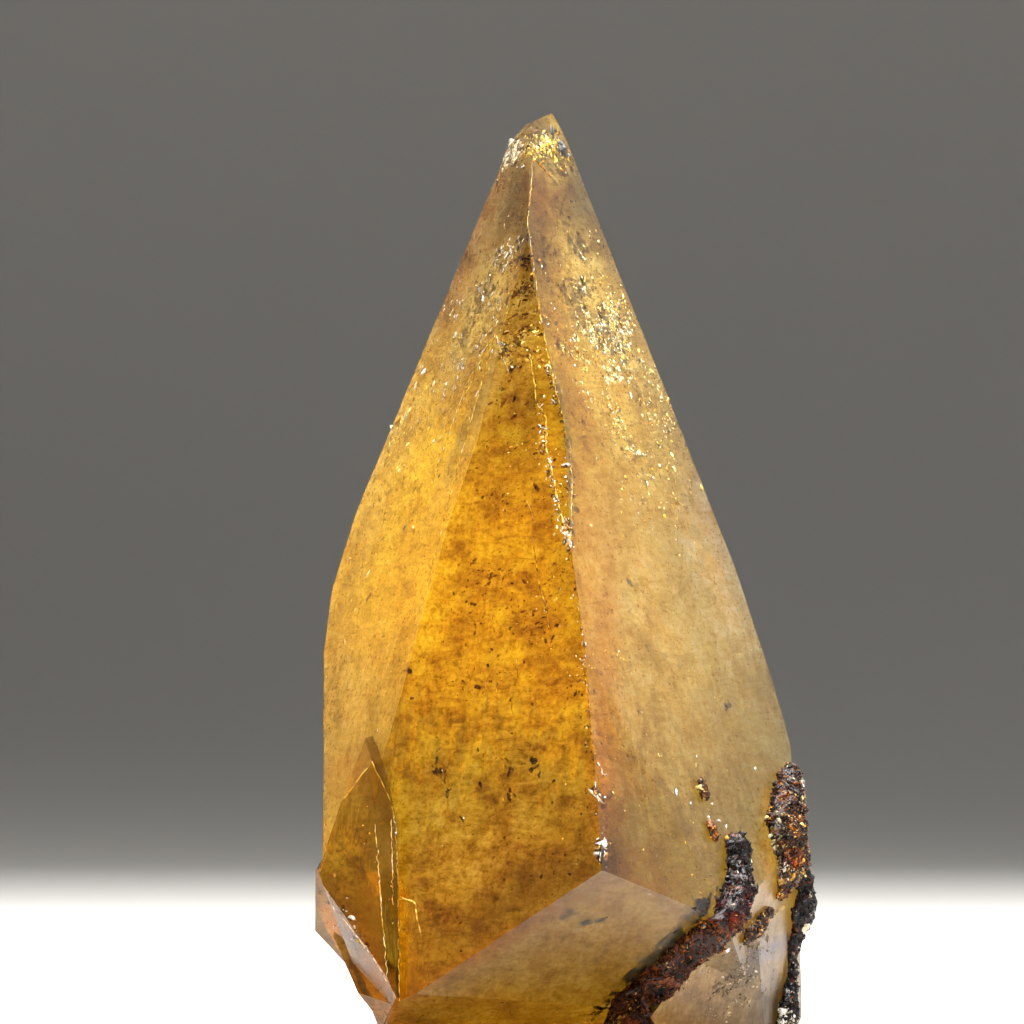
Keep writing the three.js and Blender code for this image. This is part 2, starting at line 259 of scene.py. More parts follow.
def crystal_shell(heart, faces, step, relief, wear, seed):
    """One closed crystal. Each face is a grid of two parameters, the way along its outline and the
    share of the way in to its middle. A point is then moved along its face's normal by a low
    relief that dies out at the face's edges, and by a small wander that depends on place alone,
    so that neighbouring faces stay joined, and worn places on the edges are pushed in."""
    normals, distances = face_planes(heart, faces)
    corners, lies_on = corner_points(normals, distances)
    points, pushes, triangles, count = [], [], [], 0
    for k, normal in enumerate(normals):
        own = corners[lies_on[:, k]]
        if len(own) < 3:
            continue
        rim, middle = outline(own, normal, step)
        reach = np.linalg.norm(rim - middle, axis=1).min()
        rows = int(np.clip(math.ceil(reach / (step * ROW_WIDTH)), FEWEST_ROWS, MOST_ROWS))
        share = (np.arange(rows) / rows) ** CROWDING
        n = len(rim)
        grid = rim[None] * (1 - share[:, None, None]) + middle * share[:, None, None]
        grid = np.vstack([grid.reshape(-1, 3), middle[None]])
        inset = np.append(np.repeat(share * reach, n), reach)
        fade = np.clip(inset / FADE, 0, 1)
        height = relief * sum(tall * cloud(grid, wide, seed + k + more) for wide, tall, more in HILLS)
        if normal[2] == -1:
            height = height * 0
        points.append(grid)
        pushes.append(normal * (fade * height)[:, None])
        i = (np.arange(rows - 1)[:, None] * n + np.arange(n)).ravel()
        j = (np.arange(rows - 1)[:, None] * n + (np.arange(n) + 1) % n).ravel()
        last = (rows - 1) * n + np.arange(n)
        after = (rows - 1) * n + (np.arange(n) + 1) % n
        hub = np.full(n, rows * n)
        triangles.append(count + np.vstack([
            np.stack([i, j, j + n], 1), np.stack([i, j + n, i + n], 1),
            np.stack([last, after, hub], 1),
        ]))
        count += len(grid)
    points, pushes, triangles = np.vstack(points), np.vstack(pushes), np.vstack(triangles)
    first, where = np.unique(np.round(points, 3), axis=0, return_index=True, return_inverse=True)[1:]
    points, pushes, triangles = points[first], pushes[first], where.ravel()[triangles]
    whole = (triangles != np.roll(triangles, 1, axis=1)).all(axis=1)
    triangles = triangles[whole]
    wander = np.stack([cloud(points, WANDER_WIDTH, seed + more) * WANDER
                       + cloud(points, WEAR_WIDTH, seed + more + 9) * wear
                       for more in (201, 202, 203)], axis=1)
    wander[:, 2] *= np.clip(points[:, 2], 0, 1)
    moved = points + pushes + wander
    moved[:, 2] = np.where(points[:, 2] < 1e-3, 0.0, np.maximum(moved[:, 2], 0.0))
    return moved, triangles


def new_mesh(name, points, triangles):
    """A mesh object from points in metres and triangles, both as whole arrays."""
    mesh = bpy.data.meshes.new(name)
    mesh.vertices.add(len(points))
    mesh.vertices.foreach_set("co", np.ascontiguousarray(points, np.float32).ravel())
    mesh.loops.add(triangles.size)
    mesh.loops.foreach_set("vertex_index", np.ascontiguousarray(triangles, np.int32).ravel())
    mesh.polygons.add(len(triangles))
    mesh.polygons.foreach_set("loop_start", np.arange(0, triangles.size, 3, dtype=np.int32))
    mesh.update(calc_edges=True)
    mesh.validate()
    piece = bpy.data.objects.new(name, mesh)
    bpy.context.scene.collection.objects.link(piece)
    return piece


def join_solids(main, others, operation="UNION"):
    """Solids joined to, or taken from, the first, by boolean modifiers that are applied at once."""
    for other in others:
        step = main.modifiers.new("join", "BOOLEAN")
        step.operation, step.solver, step.object = operation, "MANIFOLD", other
        main.modifiers.new("split", "TRIANGULATE")
        depsgraph = bpy.context.evaluated_depsgraph_get()
        joined = bpy.data.meshes.new_from_object(main.evaluated_get(depsgraph))
        main.modifiers.clear()
        main.data = joined
        bpy.data.objects.remove(other)
    return main


def meetings(heart, faces, x, z):
    """Where level lines from the front, at places across and up, meet the planes of the faces: each
    one's depth, how far each plane faces the back, and the planes' normals and distances."""
    normals, distances = face_planes(heart, faces)
    facing = np.where(np.abs(normals[:, 1]) < HAIR, HAIR, normals[:, 1])
    depth = (distances - np.outer(x, normals[:, 0]) - np.outer(z, normals[:, 2])) / facing
    return depth, facing, normals, distances


def front_skin(x, z):
    """Points of the calcite's front, for places across from the large crystal's axis and up, in
    millimetres, with each one's normal, and which places lie on the crystal at all. In each body,
    every face that looks forward gives the depth where a level line from the front meets it, and the
    body begins at the deepest of these. Where that point lies in a bruised flat's wedge, the line
    goes on to the wedge's far side. The body that begins nearest the front counts."""
    x = x + LARGE_HEART[0]
    best = np.full(len(x), FAR)
    normal = np.tile((0.0, -1.0, 0.0), (len(x), 1))
    for heart, faces in BODIES:
        depth, facing, normals = meetings(heart, faces, x, z)[:3]
        begin = np.where(facing < 0, depth, -FAR)
        end = np.where(facing > 0, depth, FAR).min(axis=1)
        start, out = begin.max(axis=1), normals[begin.argmax(axis=1)]
        on_body = start < end
        for wedge in FLATS if heart == LARGE_HEART else []:
            depth, facing, normals, distances = meetings(heart, wedge, x, z)
            inside = (np.stack([x, start, z], 1) @ normals.T <= distances + HAIR).all(axis=1)
            leave = np.where(facing > 0, depth, FAR)
            start = np.where(inside, leave.min(axis=1), start)
            out = np.where(inside[:, None], -normals[leave.argmin(axis=1)], out)
        nearer = on_body & (start < best)
        best = np.where(nearer, start, best)
        normal[nearer] = out[nearer]
    there = best < FAR
    return np.stack([x, best, z], 1)[there], normal[there], there


def lying(out, turn, tilt, rng):
    """For each outward direction, three axes: the third is the outward one, tilted by a random few
    degrees, and the first lies along the face, turned from level by an angle."""
    out = out + rng.normal(0, math.tan(math.radians(tilt)), out.shape)
    out /= np.linalg.norm(out, axis=1, keepdims=True)
    turn = np.radians(turn)
    along = np.stack([np.cos(turn), np.zeros(len(turn)), np.sin(turn)], 1)
    along -= out * (along * out).sum(axis=1, keepdims=True)
    along /= np.linalg.norm(along, axis=1, keepdims=True)
    return along, np.cross(out, along), out


def shards(centres, axes, length, width, thickness, rng):
    """Small angular bodies: each is a closed double pyramid on an uneven ring of six corners. The
    ring is an ellipse of the given length and width, its corners' distances vary by a quarter, and
    the two points stand off it by half the thickness."""
    n = len(centres)
    along, across, out = axes
    turn = np.arange(6) * math.pi / 3 + rng.uniform(-0.3, 0.3, (n, 6))
    far = rng.uniform(0.72, 1.1, (n, 6))
    u = (np.cos(turn) * far * length[:, None] / 2)[..., None]
    v = (np.sin(turn) * far * width[:, None] / 2)[..., None]
    ring = centres[:, None] + u * along[:, None] + v * across[:, None]
    lift = out * thickness[:, None] / 2
    slip = along * (length * rng.uniform(-0.2, 0.2, n))[:, None]
    top, bottom = centres + lift + slip, centres - lift + slip
    points = np.concatenate([ring, top[:, None], bottom[:, None]], axis=1)
    i = np.arange(6)
    j = (i + 1) % 6
    one = np.vstack([np.stack([i, j, np.full(6, 6)], 1), np.stack([j, i, np.full(6, 7)], 1)])
    triangles = one[None] + SHARD_CORNERS * np.arange(n)[:, None, None]
    return points.reshape(-1, 3), triangles.reshape(-1, 3)


def ribbon(path, widths, thickness):
    """A thin closed strip: a diamond profile of the given width and thickness carried along a path
    of points, each with the face's normal, and closed flat at both ends."""
    points, out = path
    way = np.gradient(points, axis=0)
    way /= np.linalg.norm(way, axis=1, keepdims=True)
    side = np.cross(way, out)
    side /= np.linalg.norm(side, axis=1, keepdims=True)
    ring = np.stack([points + side * widths[:, None] / 2, points + out * thickness / 2,
                     points - side * widths[:, None] / 2, points - out * thickness / 2], axis=1)
    n = len(points)
    i = (np.arange(n - 1)[:, None] * 4 + np.arange(4)).ravel()
    j = (np.arange(n - 1)[:, None] * 4 + (np.arange(4) + 1) % 4).ravel()
    sides = np.vstack([np.stack([i, j, j + 4], 1), np.stack([i, j + 4, i + 4], 1)])
    e = 4 * (n - 1)
    caps = np.array([[0, 2, 1], [0, 3, 2], [e, e + 1, e + 2], [e, e + 2, e + 3]])
    return ring.reshape(-1, 3), np.vstack([sides, caps])


def merged(parts):
    """Several sets of points and triangles as one."""
    offset = np.cumsum([0] + [len(p) for p, _ in parts[:-1]])
    return np.vstack([p for p, _ in parts]), np.vstack([t + o for (_, t), o in zip(parts, offset)])


def picked_tones(palette, count, rng):
    """One linear colour for each of many grains: picked from a palette of weights and hex colours,
    and made up to a quarter lighter or darker."""
    weights = np.array([w for w, _ in palette], float)
    colours = np.array([linear(c)[:3] for _, c in palette])
    pick = rng.choice(len(palette), count, p=weights / weights.sum())
    return np.clip(colours[pick] * rng.uniform(0.75, 1.25, (count, 1)), 0, 1)


def corner_values(mesh, name, values, kind="FLOAT"):
    """Keeps each triangle's value or colour at its three corners, as an attribute of the mesh."""
    layer = mesh.attributes.new(name, kind, "CORNER")
    values = np.repeat(np.asarray(values, np.float32), len(mesh.loops) // len(values), axis=0)
    layer.data.foreach_set("color" if kind == "FLOAT_COLOR" else "value", values.ravel())


def toned_piece(name, points, triangles, tones, material):
    """A piece of many grains, with each triangle's own colour kept as the attribute tone."""
    points = np.stack([points[:, 0], points[:, 1], np.maximum(points[:, 2], 0)], 1)
    piece = new_mesh(name, points * MM, triangles)
    if len(piece.data.polygons) != len(tones):
        raise RuntimeError("%s lost faces" % name)
    corner_values(piece.data, "tone", np.column_stack([tones, np.ones(len(tones))]), "FLOAT_COLOR")
    piece.data.materials.append(material)
    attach(piece, "root")
    return piece


# The numbers of a Mix node's sockets for its share, the colour under and the colour over it, and the
# node's output and settings when one colour lies over another or darkens it.
SHARE, UNDER, OVER = 0, 6, 7
LAID = {"out": 2, "data_type": "RGBA"}
DARKENED = {**LAID, "blend_type": "MULTIPLY"}


def add(tree, kind, links=None, out=0, stops=None, **settings):
    """Adds one shader node with its settings and gives back one of its outputs. Links holds its
    inputs' values or incoming wires; stops are a ramp's places and hex colours."""
    made = tree.nodes.new("ShaderNode" + kind)
    for key, value in settings.items():
        setattr(made, key, value)
    for key, value in (links or {}).items():
        if isinstance(value, bpy.types.NodeSocket):
            tree.links.new(value, made.inputs[key])
        else:
            made.inputs[key].default_value = value
    if stops:
        points = made.color_ramp.elements
        while len(points) < len(stops):
            points.new(0.5)
        for point, (at, colour) in zip(points, stops):
            point.position, point.color = at, linear(colour)
    return made.outputs[out]


def new_material(name):
    """An empty node material with its tree and its output node."""
    material = bpy.data.materials.new(name)
    material.use_nodes = True
    material.node_tree.nodes.clear()
    return material, material.node_tree, material.node_tree.nodes.new("ShaderNodeOutputMaterial")


class CalciteSettings(bpy.types.PropertyGroup):
    """Sizes and colours of the clear calcite"""
    grid: FloatProperty(name="Grid spacing", description="Distance between the points on a face",
                        default=0.00075, unit="LENGTH")
    relief: FloatProperty(name="Relief", description="Height of the low growth hills on a face",
                          default=0.0001, unit="LENGTH")
    wear: FloatProperty(name="Edge wear", description="How far the edges wander from straight",
                        default=0.00003, unit="LENGTH")
    density: FloatProperty(name="Absorption", description="Light taken up in the stone, per metre",
                           default=100.0, min=0)
    body: FloatVectorProperty(name="Body colour", description="Colour that light takes in the stone",
                              subtype="COLOR", default=(0.995, 0.93, 0.45))
    # The brown also paints one shade line along the edge above the lower faces.
    brown: FloatVectorProperty(name="Brown clouds", description="Colour of the brown clouds in the stone",
                               subtype="COLOR", default=linear("#a4640c")[:3])
    olive: FloatVectorProperty(name="Olive clouds", description="Colour of the olive clouds in the stone",
                               subtype="COLOR", default=linear("#94800c")[:3])
    milky: FloatVectorProperty(name="Milky places", description="Colour where the stone is milky",
                               subtype="COLOR", default=linear("#d0bc9c")[:3])
    gold: FloatVectorProperty(name="Golden places", description="Colour where the stone glows gold",
                              subtype="COLOR", default=linear("#f8d440")[:3])
    # Smoke darkens places and is partly painted shade: at the lower right of the foot, above the edge of
    # the lower faces and round the side crystal.
    smoke_and_painted_shade: FloatVectorProperty(name="Smoky places", description="Colour that darkens the smoky places",
                               subtype="COLOR", default=linear("#605850")[:3])
    # A painted sheen: the violet reflection at the lower right.
    painted_violet_sheen: FloatVectorProperty(name="Violet sheen", description="Colour of the sheen at the lower right",
                                subtype="COLOR", default=linear("#181c70")[:3])


class GrainSettings(bpy.types.PropertyGroup):
    """Sizes of the flecks, splinters and bruises"""
    fleck_size: FloatProperty(name="Fleck size", description="Size of the flecks, against the usual one",
                              default=1.0, min=0.1, subtype="FACTOR")
    splinter_depth: FloatProperty(name="Splinter depth", description="Depth of the splinters under a face",
                                  default=0.0004, unit="LENGTH")
    bruise_size: FloatProperty(name="Bruise size", description="Size of the white grains on the edges",
                               default=1.0, min=0.1, subtype="FACTOR")
    film: FloatProperty(name="Crack thickness", description="Thickness of the bright films in the cracks",
                        default=0.0001, unit="LENGTH")


class SphaleriteSettings(bpy.types.PropertyGroup):
    """Sizes and gloss of the sphalerite crusts"""
    size: FloatProperty(name="Crystal size", description="Width of a typical small crystal on the crusts",
                        default=0.0007, unit="LENGTH")
    roughness: FloatProperty(name="Roughness", description="Roughness of the crystals' faces",
                             default=0.24, min=0, max=1, subtype="FACTOR")


class StageSettings(bpy.types.PropertyGroup):
    """The floor and the lights"""
    floor: FloatVectorProperty(name="Floor", description="Colour of the paper floor",
                               subtype="COLOR", default=linear("#dedbd5")[:3])
    room: FloatProperty(name="Room light", description="Brightness of the light from all round",
                        default=0.12, min=0)
    power: FloatProperty(name="Lamp power", description="Power of all the softboxes, against the usual one",
                         default=1.0, min=0, subtype="FACTOR")


# The tints of each kind of face: heights in millimetres and the colour there. "near" and "edge" are
# the right-hand faces beside the long ridge and out at the crystal's side. The cool greys and blues of
# the right-hand and edge tints are a painted satin sheen over the pale stone.
TINTS = {
    "right": [(4, "#605c4c"), (26, "#5c6068"), (46, "#9c9ea2"), (60, "#b8bab4"), (78, "#b0a478"),
              (88, "#988454"), (98, "#605640"), (110, "#3c341e")],
    "near": [(24, "#684808"), (36, "#7e5c04"), (46, "#b89018"), (58, "#dcb02c"), (68, "#b8881c"),
             (80, "#b08828"), (92, "#986c1c"), (102, "#5a3c14"), (110, "#44280c")],
    "edge": [(28, "#545868"), (44, "#6a6c7e"), (51, "#8488a0"), (60, "#8898d8"), (69, "#848090"),
             (76, "#5c544e"), (84, "#544c40"), (95, "#7c6c54"), (106, "#554b42")],
    "amber": [(2, "#80681e"), (14, "#7c6428"), (26, "#7c7a58"), (36, "#908038"), (44, "#ccaa2c"),
              (58, "#f4c424"), (66, "#ecb81c"), (76, "#d0a018"), (86, "#b08c0c"), (100, "#846404")],
    "left": [(10, "#9c8860"), (36, "#8c8464"), (46, "#ac944c"), (54, "#e8bc3c"), (74, "#f4c834"),
             (84, "#a4844c"), (100, "#7c5c3c"), (108, "#4c2c18")],
    "side": [(4, "#5c4800"), (18, "#503c00"), (30, "#3c2400"), (36, "#301800")],
    "foot": [(0, "#584c24"), (8, "#7c7860"), (20, "#98906c")],
}
# In millimetres: the height that the ramps count as the whole, and the one where the right-hand
# faces narrow to a point.
TINT_TOP = 120
APEX = 120.5


def face_tints(tree, place, clouds, streaks):
    """The calcite's colour from its ramps, by height and by the way across, both strayed by the
    noises, with the tint of each kind of face laid over by its share. Gives back the amber share too."""
    stray = add(tree, "MapRange", {"Value": streaks, "From Min": 0.3, "From Max": 0.7,
                                   "To Min": -7, "To Max": 7})
    height = add(tree, "Math", {0: place["Z"], 1: stray}, operation="ADD")
    height = add(tree, "Math", {0: height, 1: 1 / TINT_TOP}, operation="MULTIPLY")
    room = add(tree, "Math", {0: APEX, 1: place["Z"]}, operation="SUBTRACT")
    across = add(tree, "Math", {0: place["X"], 1: room}, operation="DIVIDE")
    stray = add(tree, "MapRange", {"Value": clouds, "From Min": 0.3, "From Max": 0.7,
                                   "To Min": -0.05, "To Max": 0.05})
    across = add(tree, "Math", {0: across, 1: stray}, operation="ADD")
    ramps = {}
    for name, tints in TINTS.items():
        stops = [(at / TINT_TOP, colour) for at, colour in tints]
        ramps[name] = add(tree, "ValToRGB", {"Fac": height}, stops=stops)
    near = add(tree, "MapRange", {"Value": across, "From Min": 0.0, "From Max": 0.12,
                                  "To Min": 0.9, "To Max": 0})
    tint = add(tree, "Mix", {SHARE: near, UNDER: ramps["right"], OVER: ramps["near"]}, **LAID)
    # Out at the side the tint turns to the edge ramp, whose blue is a painted sheen.
    far = add(tree, "MapRange", {"Value": across, "From Min": 0.17, "From Max": 0.33,
                                 "To Min": 0, "To Max": 1})
    tint = add(tree, "Mix", {SHARE: far, UNDER: tint, OVER: ramps["edge"]}, **LAID)
    zone = add(tree, "Attribute", attribute_name="face_tint")
    shares = add(tree, "SeparateColor", {"Color": zone}).node.outputs
    for share, name in zip((*shares, zone.node.outputs["Alpha"]), ("amber", "left", "side", "foot")):
        tint = add(tree, "Mix", {SHARE: share, UNDER: tint, OVER: ramps[name]}, **LAID)
    return tint, shares[0]


def stained(tree, tint, noises, settings):
    """The tint with the brown, olive, milky and golden stains laid over it, broken up by the noises. One
    brown line is painted shade.
    """
    stain = add(tree, "Attribute", attribute_name="stain")
    stains = add(tree, "SeparateColor", {"Color": stain}).node.outputs
    colours = (settings.brown, settings.olive, settings.milky, settings.gold)
    for share, noise, colour in zip((*stains, stain.node.outputs["Alpha"]), noises, colours):
        torn = add(tree, "MapRange", {"Value": noise, "From Min": 0.36, "From Max": 0.6,
                                      "To Min": 0.35, "To Max": 1.15})
        share = add(tree, "Math", {0: share, 1: torn}, operation="MULTIPLY", use_clamp=True)
        tint = add(tree, "Mix", {SHARE: share, UNDER: tint, OVER: (*colour, 1.0)}, **LAID)
    return tint


def foiled(tree, tint, mm):
    """The tint with the shine of crumpled cleavage cracks painted in, like foil: painted glints on the
    bright folds between darker ones.
    """
    folds = add(tree, "Mapping", {"Vector": mm, "Rotation": (0, -0.9, 0), "Scale": (0.6, 1.0, 1.4)})
    folds = add(tree, "TexNoise", {"Vector": folds, "Scale": 0.9,
                                   "Detail": 3, "Roughness": 0.75, "Distortion": 2.5})
    shine = add(tree, "ValToRGB", {"Fac": folds}, stops=[
        (0.36, "#605430"), (0.42, "#b89c54"), (0.47, "#f4dc88"), (0.52, "#fffcd8"), (0.59, "#f4e094"),
        (0.67, "#94804c")])
    # Where the painted crack shine lies.
    share = add(tree, "Attribute", out="Fac", attribute_name="painted_crack_shine")
    return add(tree, "Mix", {SHARE: share, UNDER: tint, OVER: shine}, **LAID)


def darkened(tree, tint, amber, noises, settings):
    """The tint darkened towards brown by clouds, level drifts and grit, and by smoke, which is partly
    painted shade, with the painted violet sheen over it."""
    clouds, drifts, _, grit = noises
    part = add(tree, "MapRange", {"Value": amber, "To Min": 0.7, "To Max": 1.0})
    for noise, stops in ((clouds, [(0.36, "#a08454"), (0.46, "#dcc89c"), (0.58, "#ffffff")]),
                         (drifts, [(0.34, "#a88c54"), (0.47, "#e0d0a8"), (0.6, "#ffffff")]),
                         (grit, [(0.32, "#a08858"), (0.45, "#e0d0ac"), (0.56, "#ffffff")])):
        shade = add(tree, "ValToRGB", {"Fac": noise}, stops=stops)
        tint = add(tree, "Mix", {SHARE: part, UNDER: tint, OVER: shade}, **DARKENED)
    # Smoke: darker places, partly painted shade.
    smoke_and_painted_shade = add(tree, "Attribute", out="Fac", attribute_name="smoke_and_painted_shade")
    tint = add(tree, "Mix", {SHARE: smoke_and_painted_shade, UNDER: tint, OVER: (*settings.smoke_and_painted_shade, 1.0)}, **DARKENED)
    # The painted violet sheen, laid over the tint.
    painted_violet_sheen = add(tree, "Attribute", out="Fac", attribute_name="painted_violet_sheen")
    return add(tree, "Mix", {SHARE: painted_violet_sheen, UNDER: tint, OVER: (*settings.painted_violet_sheen, 1.0)}, **LAID)


def pale_behind(tree, tint, clouds, drifts):
    """The tint with the back faces pale gold and faintly clouded, since they let most light in."""
    back = add(tree, "Attribute", out="Fac", attribute_name="face_back")
    pale = add(tree, "ValToRGB", {"Fac": clouds},
               stops=[(0.36, "#e8cc90"), (0.47, "#f8e8c4"), (0.58, "#fff8e8")])
    shade = add(tree, "ValToRGB", {"Fac": drifts}, stops=[(0.36, "#ecdcb8"), (0.56, "#ffffff")])
    pale = add(tree, "Mix", {SHARE: 1.0, UNDER: pale, OVER: shade}, **DARKENED)
    return add(tree, "Mix", {SHARE: back, UNDER: tint, OVER: pale}, **LAID)


def golden_calcite(settings):
    """Calcite, grown in water: clear stone, so light comes through it and takes a golden colour on
    the way. The faces that grew last are slightly etched, which gives a satin gloss. Clouds, stains
    and grit sealed near the faces tint the light where it enters; some of that tint is painted light:
    a satin sheen on the right-hand faces, the shine of cracks, a violet sheen, and shade."""
    material, tree, output = new_material("golden_calcite")
    metres = add(tree, "TexCoord", out="Object")
    mm = add(tree, "VectorMath", {0: metres, 1: (1 / MM,) * 3}, operation="MULTIPLY")
    place = add(tree, "SeparateXYZ", {"Vector": mm}).node.outputs
    clouds = add(tree, "TexNoise", {"Vector": mm, "Scale": 0.2, "Detail": 4, "Roughness": 0.7})
    level = add(tree, "Mapping", {"Vector": mm, "Rotation": (0, -0.15, 0), "Scale": (0.35, 0.35, 1.0)})
    drifts = add(tree, "TexNoise", {"Vector": level, "Scale": 0.8,
                                    "Detail": 4, "Roughness": 0.72, "Distortion": 1.2})
    steep = add(tree, "Mapping", {"Vector": mm, "Rotation": (0, 0.75, 0.3), "Scale": (1.1, 1.1, 0.16)})
    streaks = add(tree, "TexNoise", {"Vector": steep, "Scale": 0.9, "Detail": 2, "Roughness": 0.6})
    grit = add(tree, "TexNoise", {"Vector": mm, "Scale": 1.7, "Detail": 3, "Roughness": 0.8})
    noises = (clouds, drifts, streaks, grit)

    tint, amber = face_tints(tree, place, clouds, streaks)
    tint = stained(tree, tint, noises, settings)
    tint = foiled(tree, tint, mm)
    tint = darkened(tree, tint, amber, noises, settings)
    tint = pale_behind(tree, tint, clouds, drifts)

    etch = add(tree, "Attribute", out="Fac", attribute_name="face_etch")
    worn = add(tree, "MapRange", {"Value": grit, "From Min": 0.35, "From Max": 0.7,
                                  "To Min": 0.8, "To Max": 1.35})
    rough = add(tree, "Math", {0: etch, 1: worn}, operation="MULTIPLY")
    bump = add(tree, "Bump", {"Height": streaks, "Strength": 0.35, "Distance": 0.0001})
    shader = add(tree, "BsdfPrincipled", {
        "Base Color": tint, "Roughness": rough, "IOR": 1.6, "Transmission Weight": 0.86,
        "Normal": bump, "Coat Weight": 0.1, "Coat Roughness": 0.12, "Coat IOR": 1.5,
    })
    volume = add(tree, "VolumeAbsorption", {"Color": (*settings.body, 1.0), "Density": settings.density})
    tree.links.new(shader, output.inputs["Surface"])
    tree.links.new(volume, output.inputs["Volume"])
    return material


def grain_material(name, scale, roughness, specular=0.5):
    """The finish of many small grains: each grain's own tone, made lighter and darker by noise of a
    given width in millimetres, with a gloss that varies with the same noise."""
    material, tree, output = new_material(name)
    place = add(tree, "TexCoord", out="Object")
    noise = add(tree, "TexNoise", {"Vector": place, "Scale": 1 / MM / scale, "Detail": 3, "Roughness": 0.6})
    tone = add(tree, "Attribute", attribute_name="tone")
    shade = add(tree, "ValToRGB", {"Fac": noise}, stops=[(0.35, "#7c7468"), (0.6, "#ffffff")])
    colour = add(tree, "Mix", {SHARE: 1.0, UNDER: tone, OVER: shade}, **DARKENED)
    rough = add(tree, "MapRange", {"Value": noise, "From Min": 0.3, "From Max": 0.7,
                                   "To Min": roughness * 0.7, "To Max": roughness * 1.4})
    bump = add(tree, "Bump", {"Height": noise, "Strength": 0.3, "Distance": 0.0001})
    shader = add(tree, "BsdfPrincipled", {
        "Base Color": colour, "Roughness": rough, "Specular IOR Level": specular, "Normal": bump,
    })
    tree.links.new(shader, output.inputs["Surface"])
    return material


def read_array(rows, name, width, kind=np.float32):
    """One property of all the rows of a mesh, such as its corners' places, as one array."""
    values = np.empty(len(rows) * width, kind)
    rows.foreach_get(name, values)
    return values.reshape(-1, width) if width > 1 else values


def face_looks(mesh, normal):
    """Gives each triangle the look of the crystal face that it belongs to, and gives back that face's
    number: it is the one whose plane lies nearest to the triangle's middle and is most nearly level
    with it."""
    planes, reaches, kinds = all_planes()
    centre = read_array(mesh.polygons, "center", 3)
    miss = np.abs(centre @ planes.T / MM - reaches) + LEVEL_WEIGHT * (1 - normal @ planes.T)
    facet = miss.argmin(axis=1)
    look = np.array([KINDS[k] for k in kinds])[facet]
    corner_values(mesh, "face_tint", look[:, :4], "FLOAT_COLOR")
    corner_values(mesh, "face_etch", look[:, 4])
    corner_values(mesh, "face_back", np.isin(np.array(kinds)[facet], ("back", "cut")))
    return facet


def stain_corners(mesh, normal):
    """Gives each corner the strength of each stain, on faces that look forward: a bell of the
    distance from the stain's middle, along and across its long way."""
    place = read_array(mesh.vertices, "co", 3)[read_array(mesh.loops, "vertex_index", 1, np.int32)] / MM
    stain = np.zeros((len(place), len(STAINS)), np.float32)
    for channel, patches in enumerate(STAINS.values()):
        for x, z, long, short, turn, strength in patches:
            cos, sin = math.cos(math.radians(turn)), math.sin(math.radians(turn))
            dx, dz = place[:, 0] - LARGE_HEART[0] - x, place[:, 2] - z
            along, across = (dx * cos + dz * sin) / long, (dz * cos - dx * sin) / short
            bell = np.exp(-0.5 * (along ** 2 + across ** 2))
            stain[:, channel] = np.maximum(stain[:, channel], strength * bell)
    stain[np.repeat(normal[:, 1] > -0.02, 3)] = 0
    # The first four stains are the parts of one colour, and the others have an attribute each.
    corner_values(mesh, "stain", stain[:, :4], "FLOAT_COLOR")
    for number, name in list(enumerate(STAINS))[4:]:
        corner_values(mesh, name, stain[:, number])


def sharpen(mesh, facet):
    """Makes an edge sharp where two of the crystal's faces meet."""
    edges = read_array(mesh.loops, "edge_index", 1, np.int32)
    low, high = np.full(len(mesh.edges), len(facet)), np.zeros(len(mesh.edges), int)
    np.minimum.at(low, edges, np.repeat(facet, 3))
    np.maximum.at(high, edges, np.repeat(facet, 3))
    sharp = mesh.attributes.new("sharp_edge", "BOOLEAN", "EDGE")
    sharp.data.foreach_set("value", low != high)


class CRYSTAL_OT_calcite(bpy.types.Operator):
    """Builds the calcite: the large crystal, the side crystal, its bud and the foot lobe in one solid"""
    bl_idname = "crystal.calcite"
    bl_label = "Calcite crystal"

    def execute(self, context):
        s = context.scene.calcite
        sizes = (s.grid / MM, s.relief / MM, s.wear / MM)
        shells = []
        for number, (heart, faces) in enumerate(BODIES):
            points, triangles = crystal_shell(heart, faces, *sizes, SEED_STEP * (number + 1))
            shells.append(new_mesh("shell", points * MM, triangles))
        wedges = []
        for number, faces in enumerate(FLATS):
            points, triangles = crystal_shell(LARGE_HEART, faces, *sizes, SEED_STEP * (number + 9))
            wedges.append(new_mesh("wedge", points * MM, triangles))
        piece = join_solids(join_solids(shells[0], wedges, "DIFFERENCE"), shells[1:])
        piece.name = piece.data.name = "calcite_visual"
        mesh = piece.data
        count = len(mesh.polygons)
        normal = read_array(mesh.polygons, "normal", 3)
        facet = face_looks(mesh, normal)
        stain_corners(mesh, normal)
        sharpen(mesh, facet)
        mesh.polygons.foreach_set("use_smooth", np.ones(count, bool))
        mesh.materials.clear()
        mesh.materials.append(golden_calcite(s))
        mesh.polygons.foreach_set("material_index", np.zeros(count, np.int32))
        mesh.update()
        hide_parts("calcite_crystal")
        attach(piece, "root")
        return {"FINISHED"}


# Sizes of flecks and splinters in millimetres: how thick they are, how wide a clump of flecks is,
# how low and how high flecks lie, and the shortest and the longest fleck.
FLECK_THICKNESS, SPLINTER_THICKNESS, CLUMP_WIDTH = 0.04, 0.12, 2.4
LOWEST_FLECK, HIGHEST_FLECK = 2, 118
FLECK_LENGTHS = (0.1, 1.4)
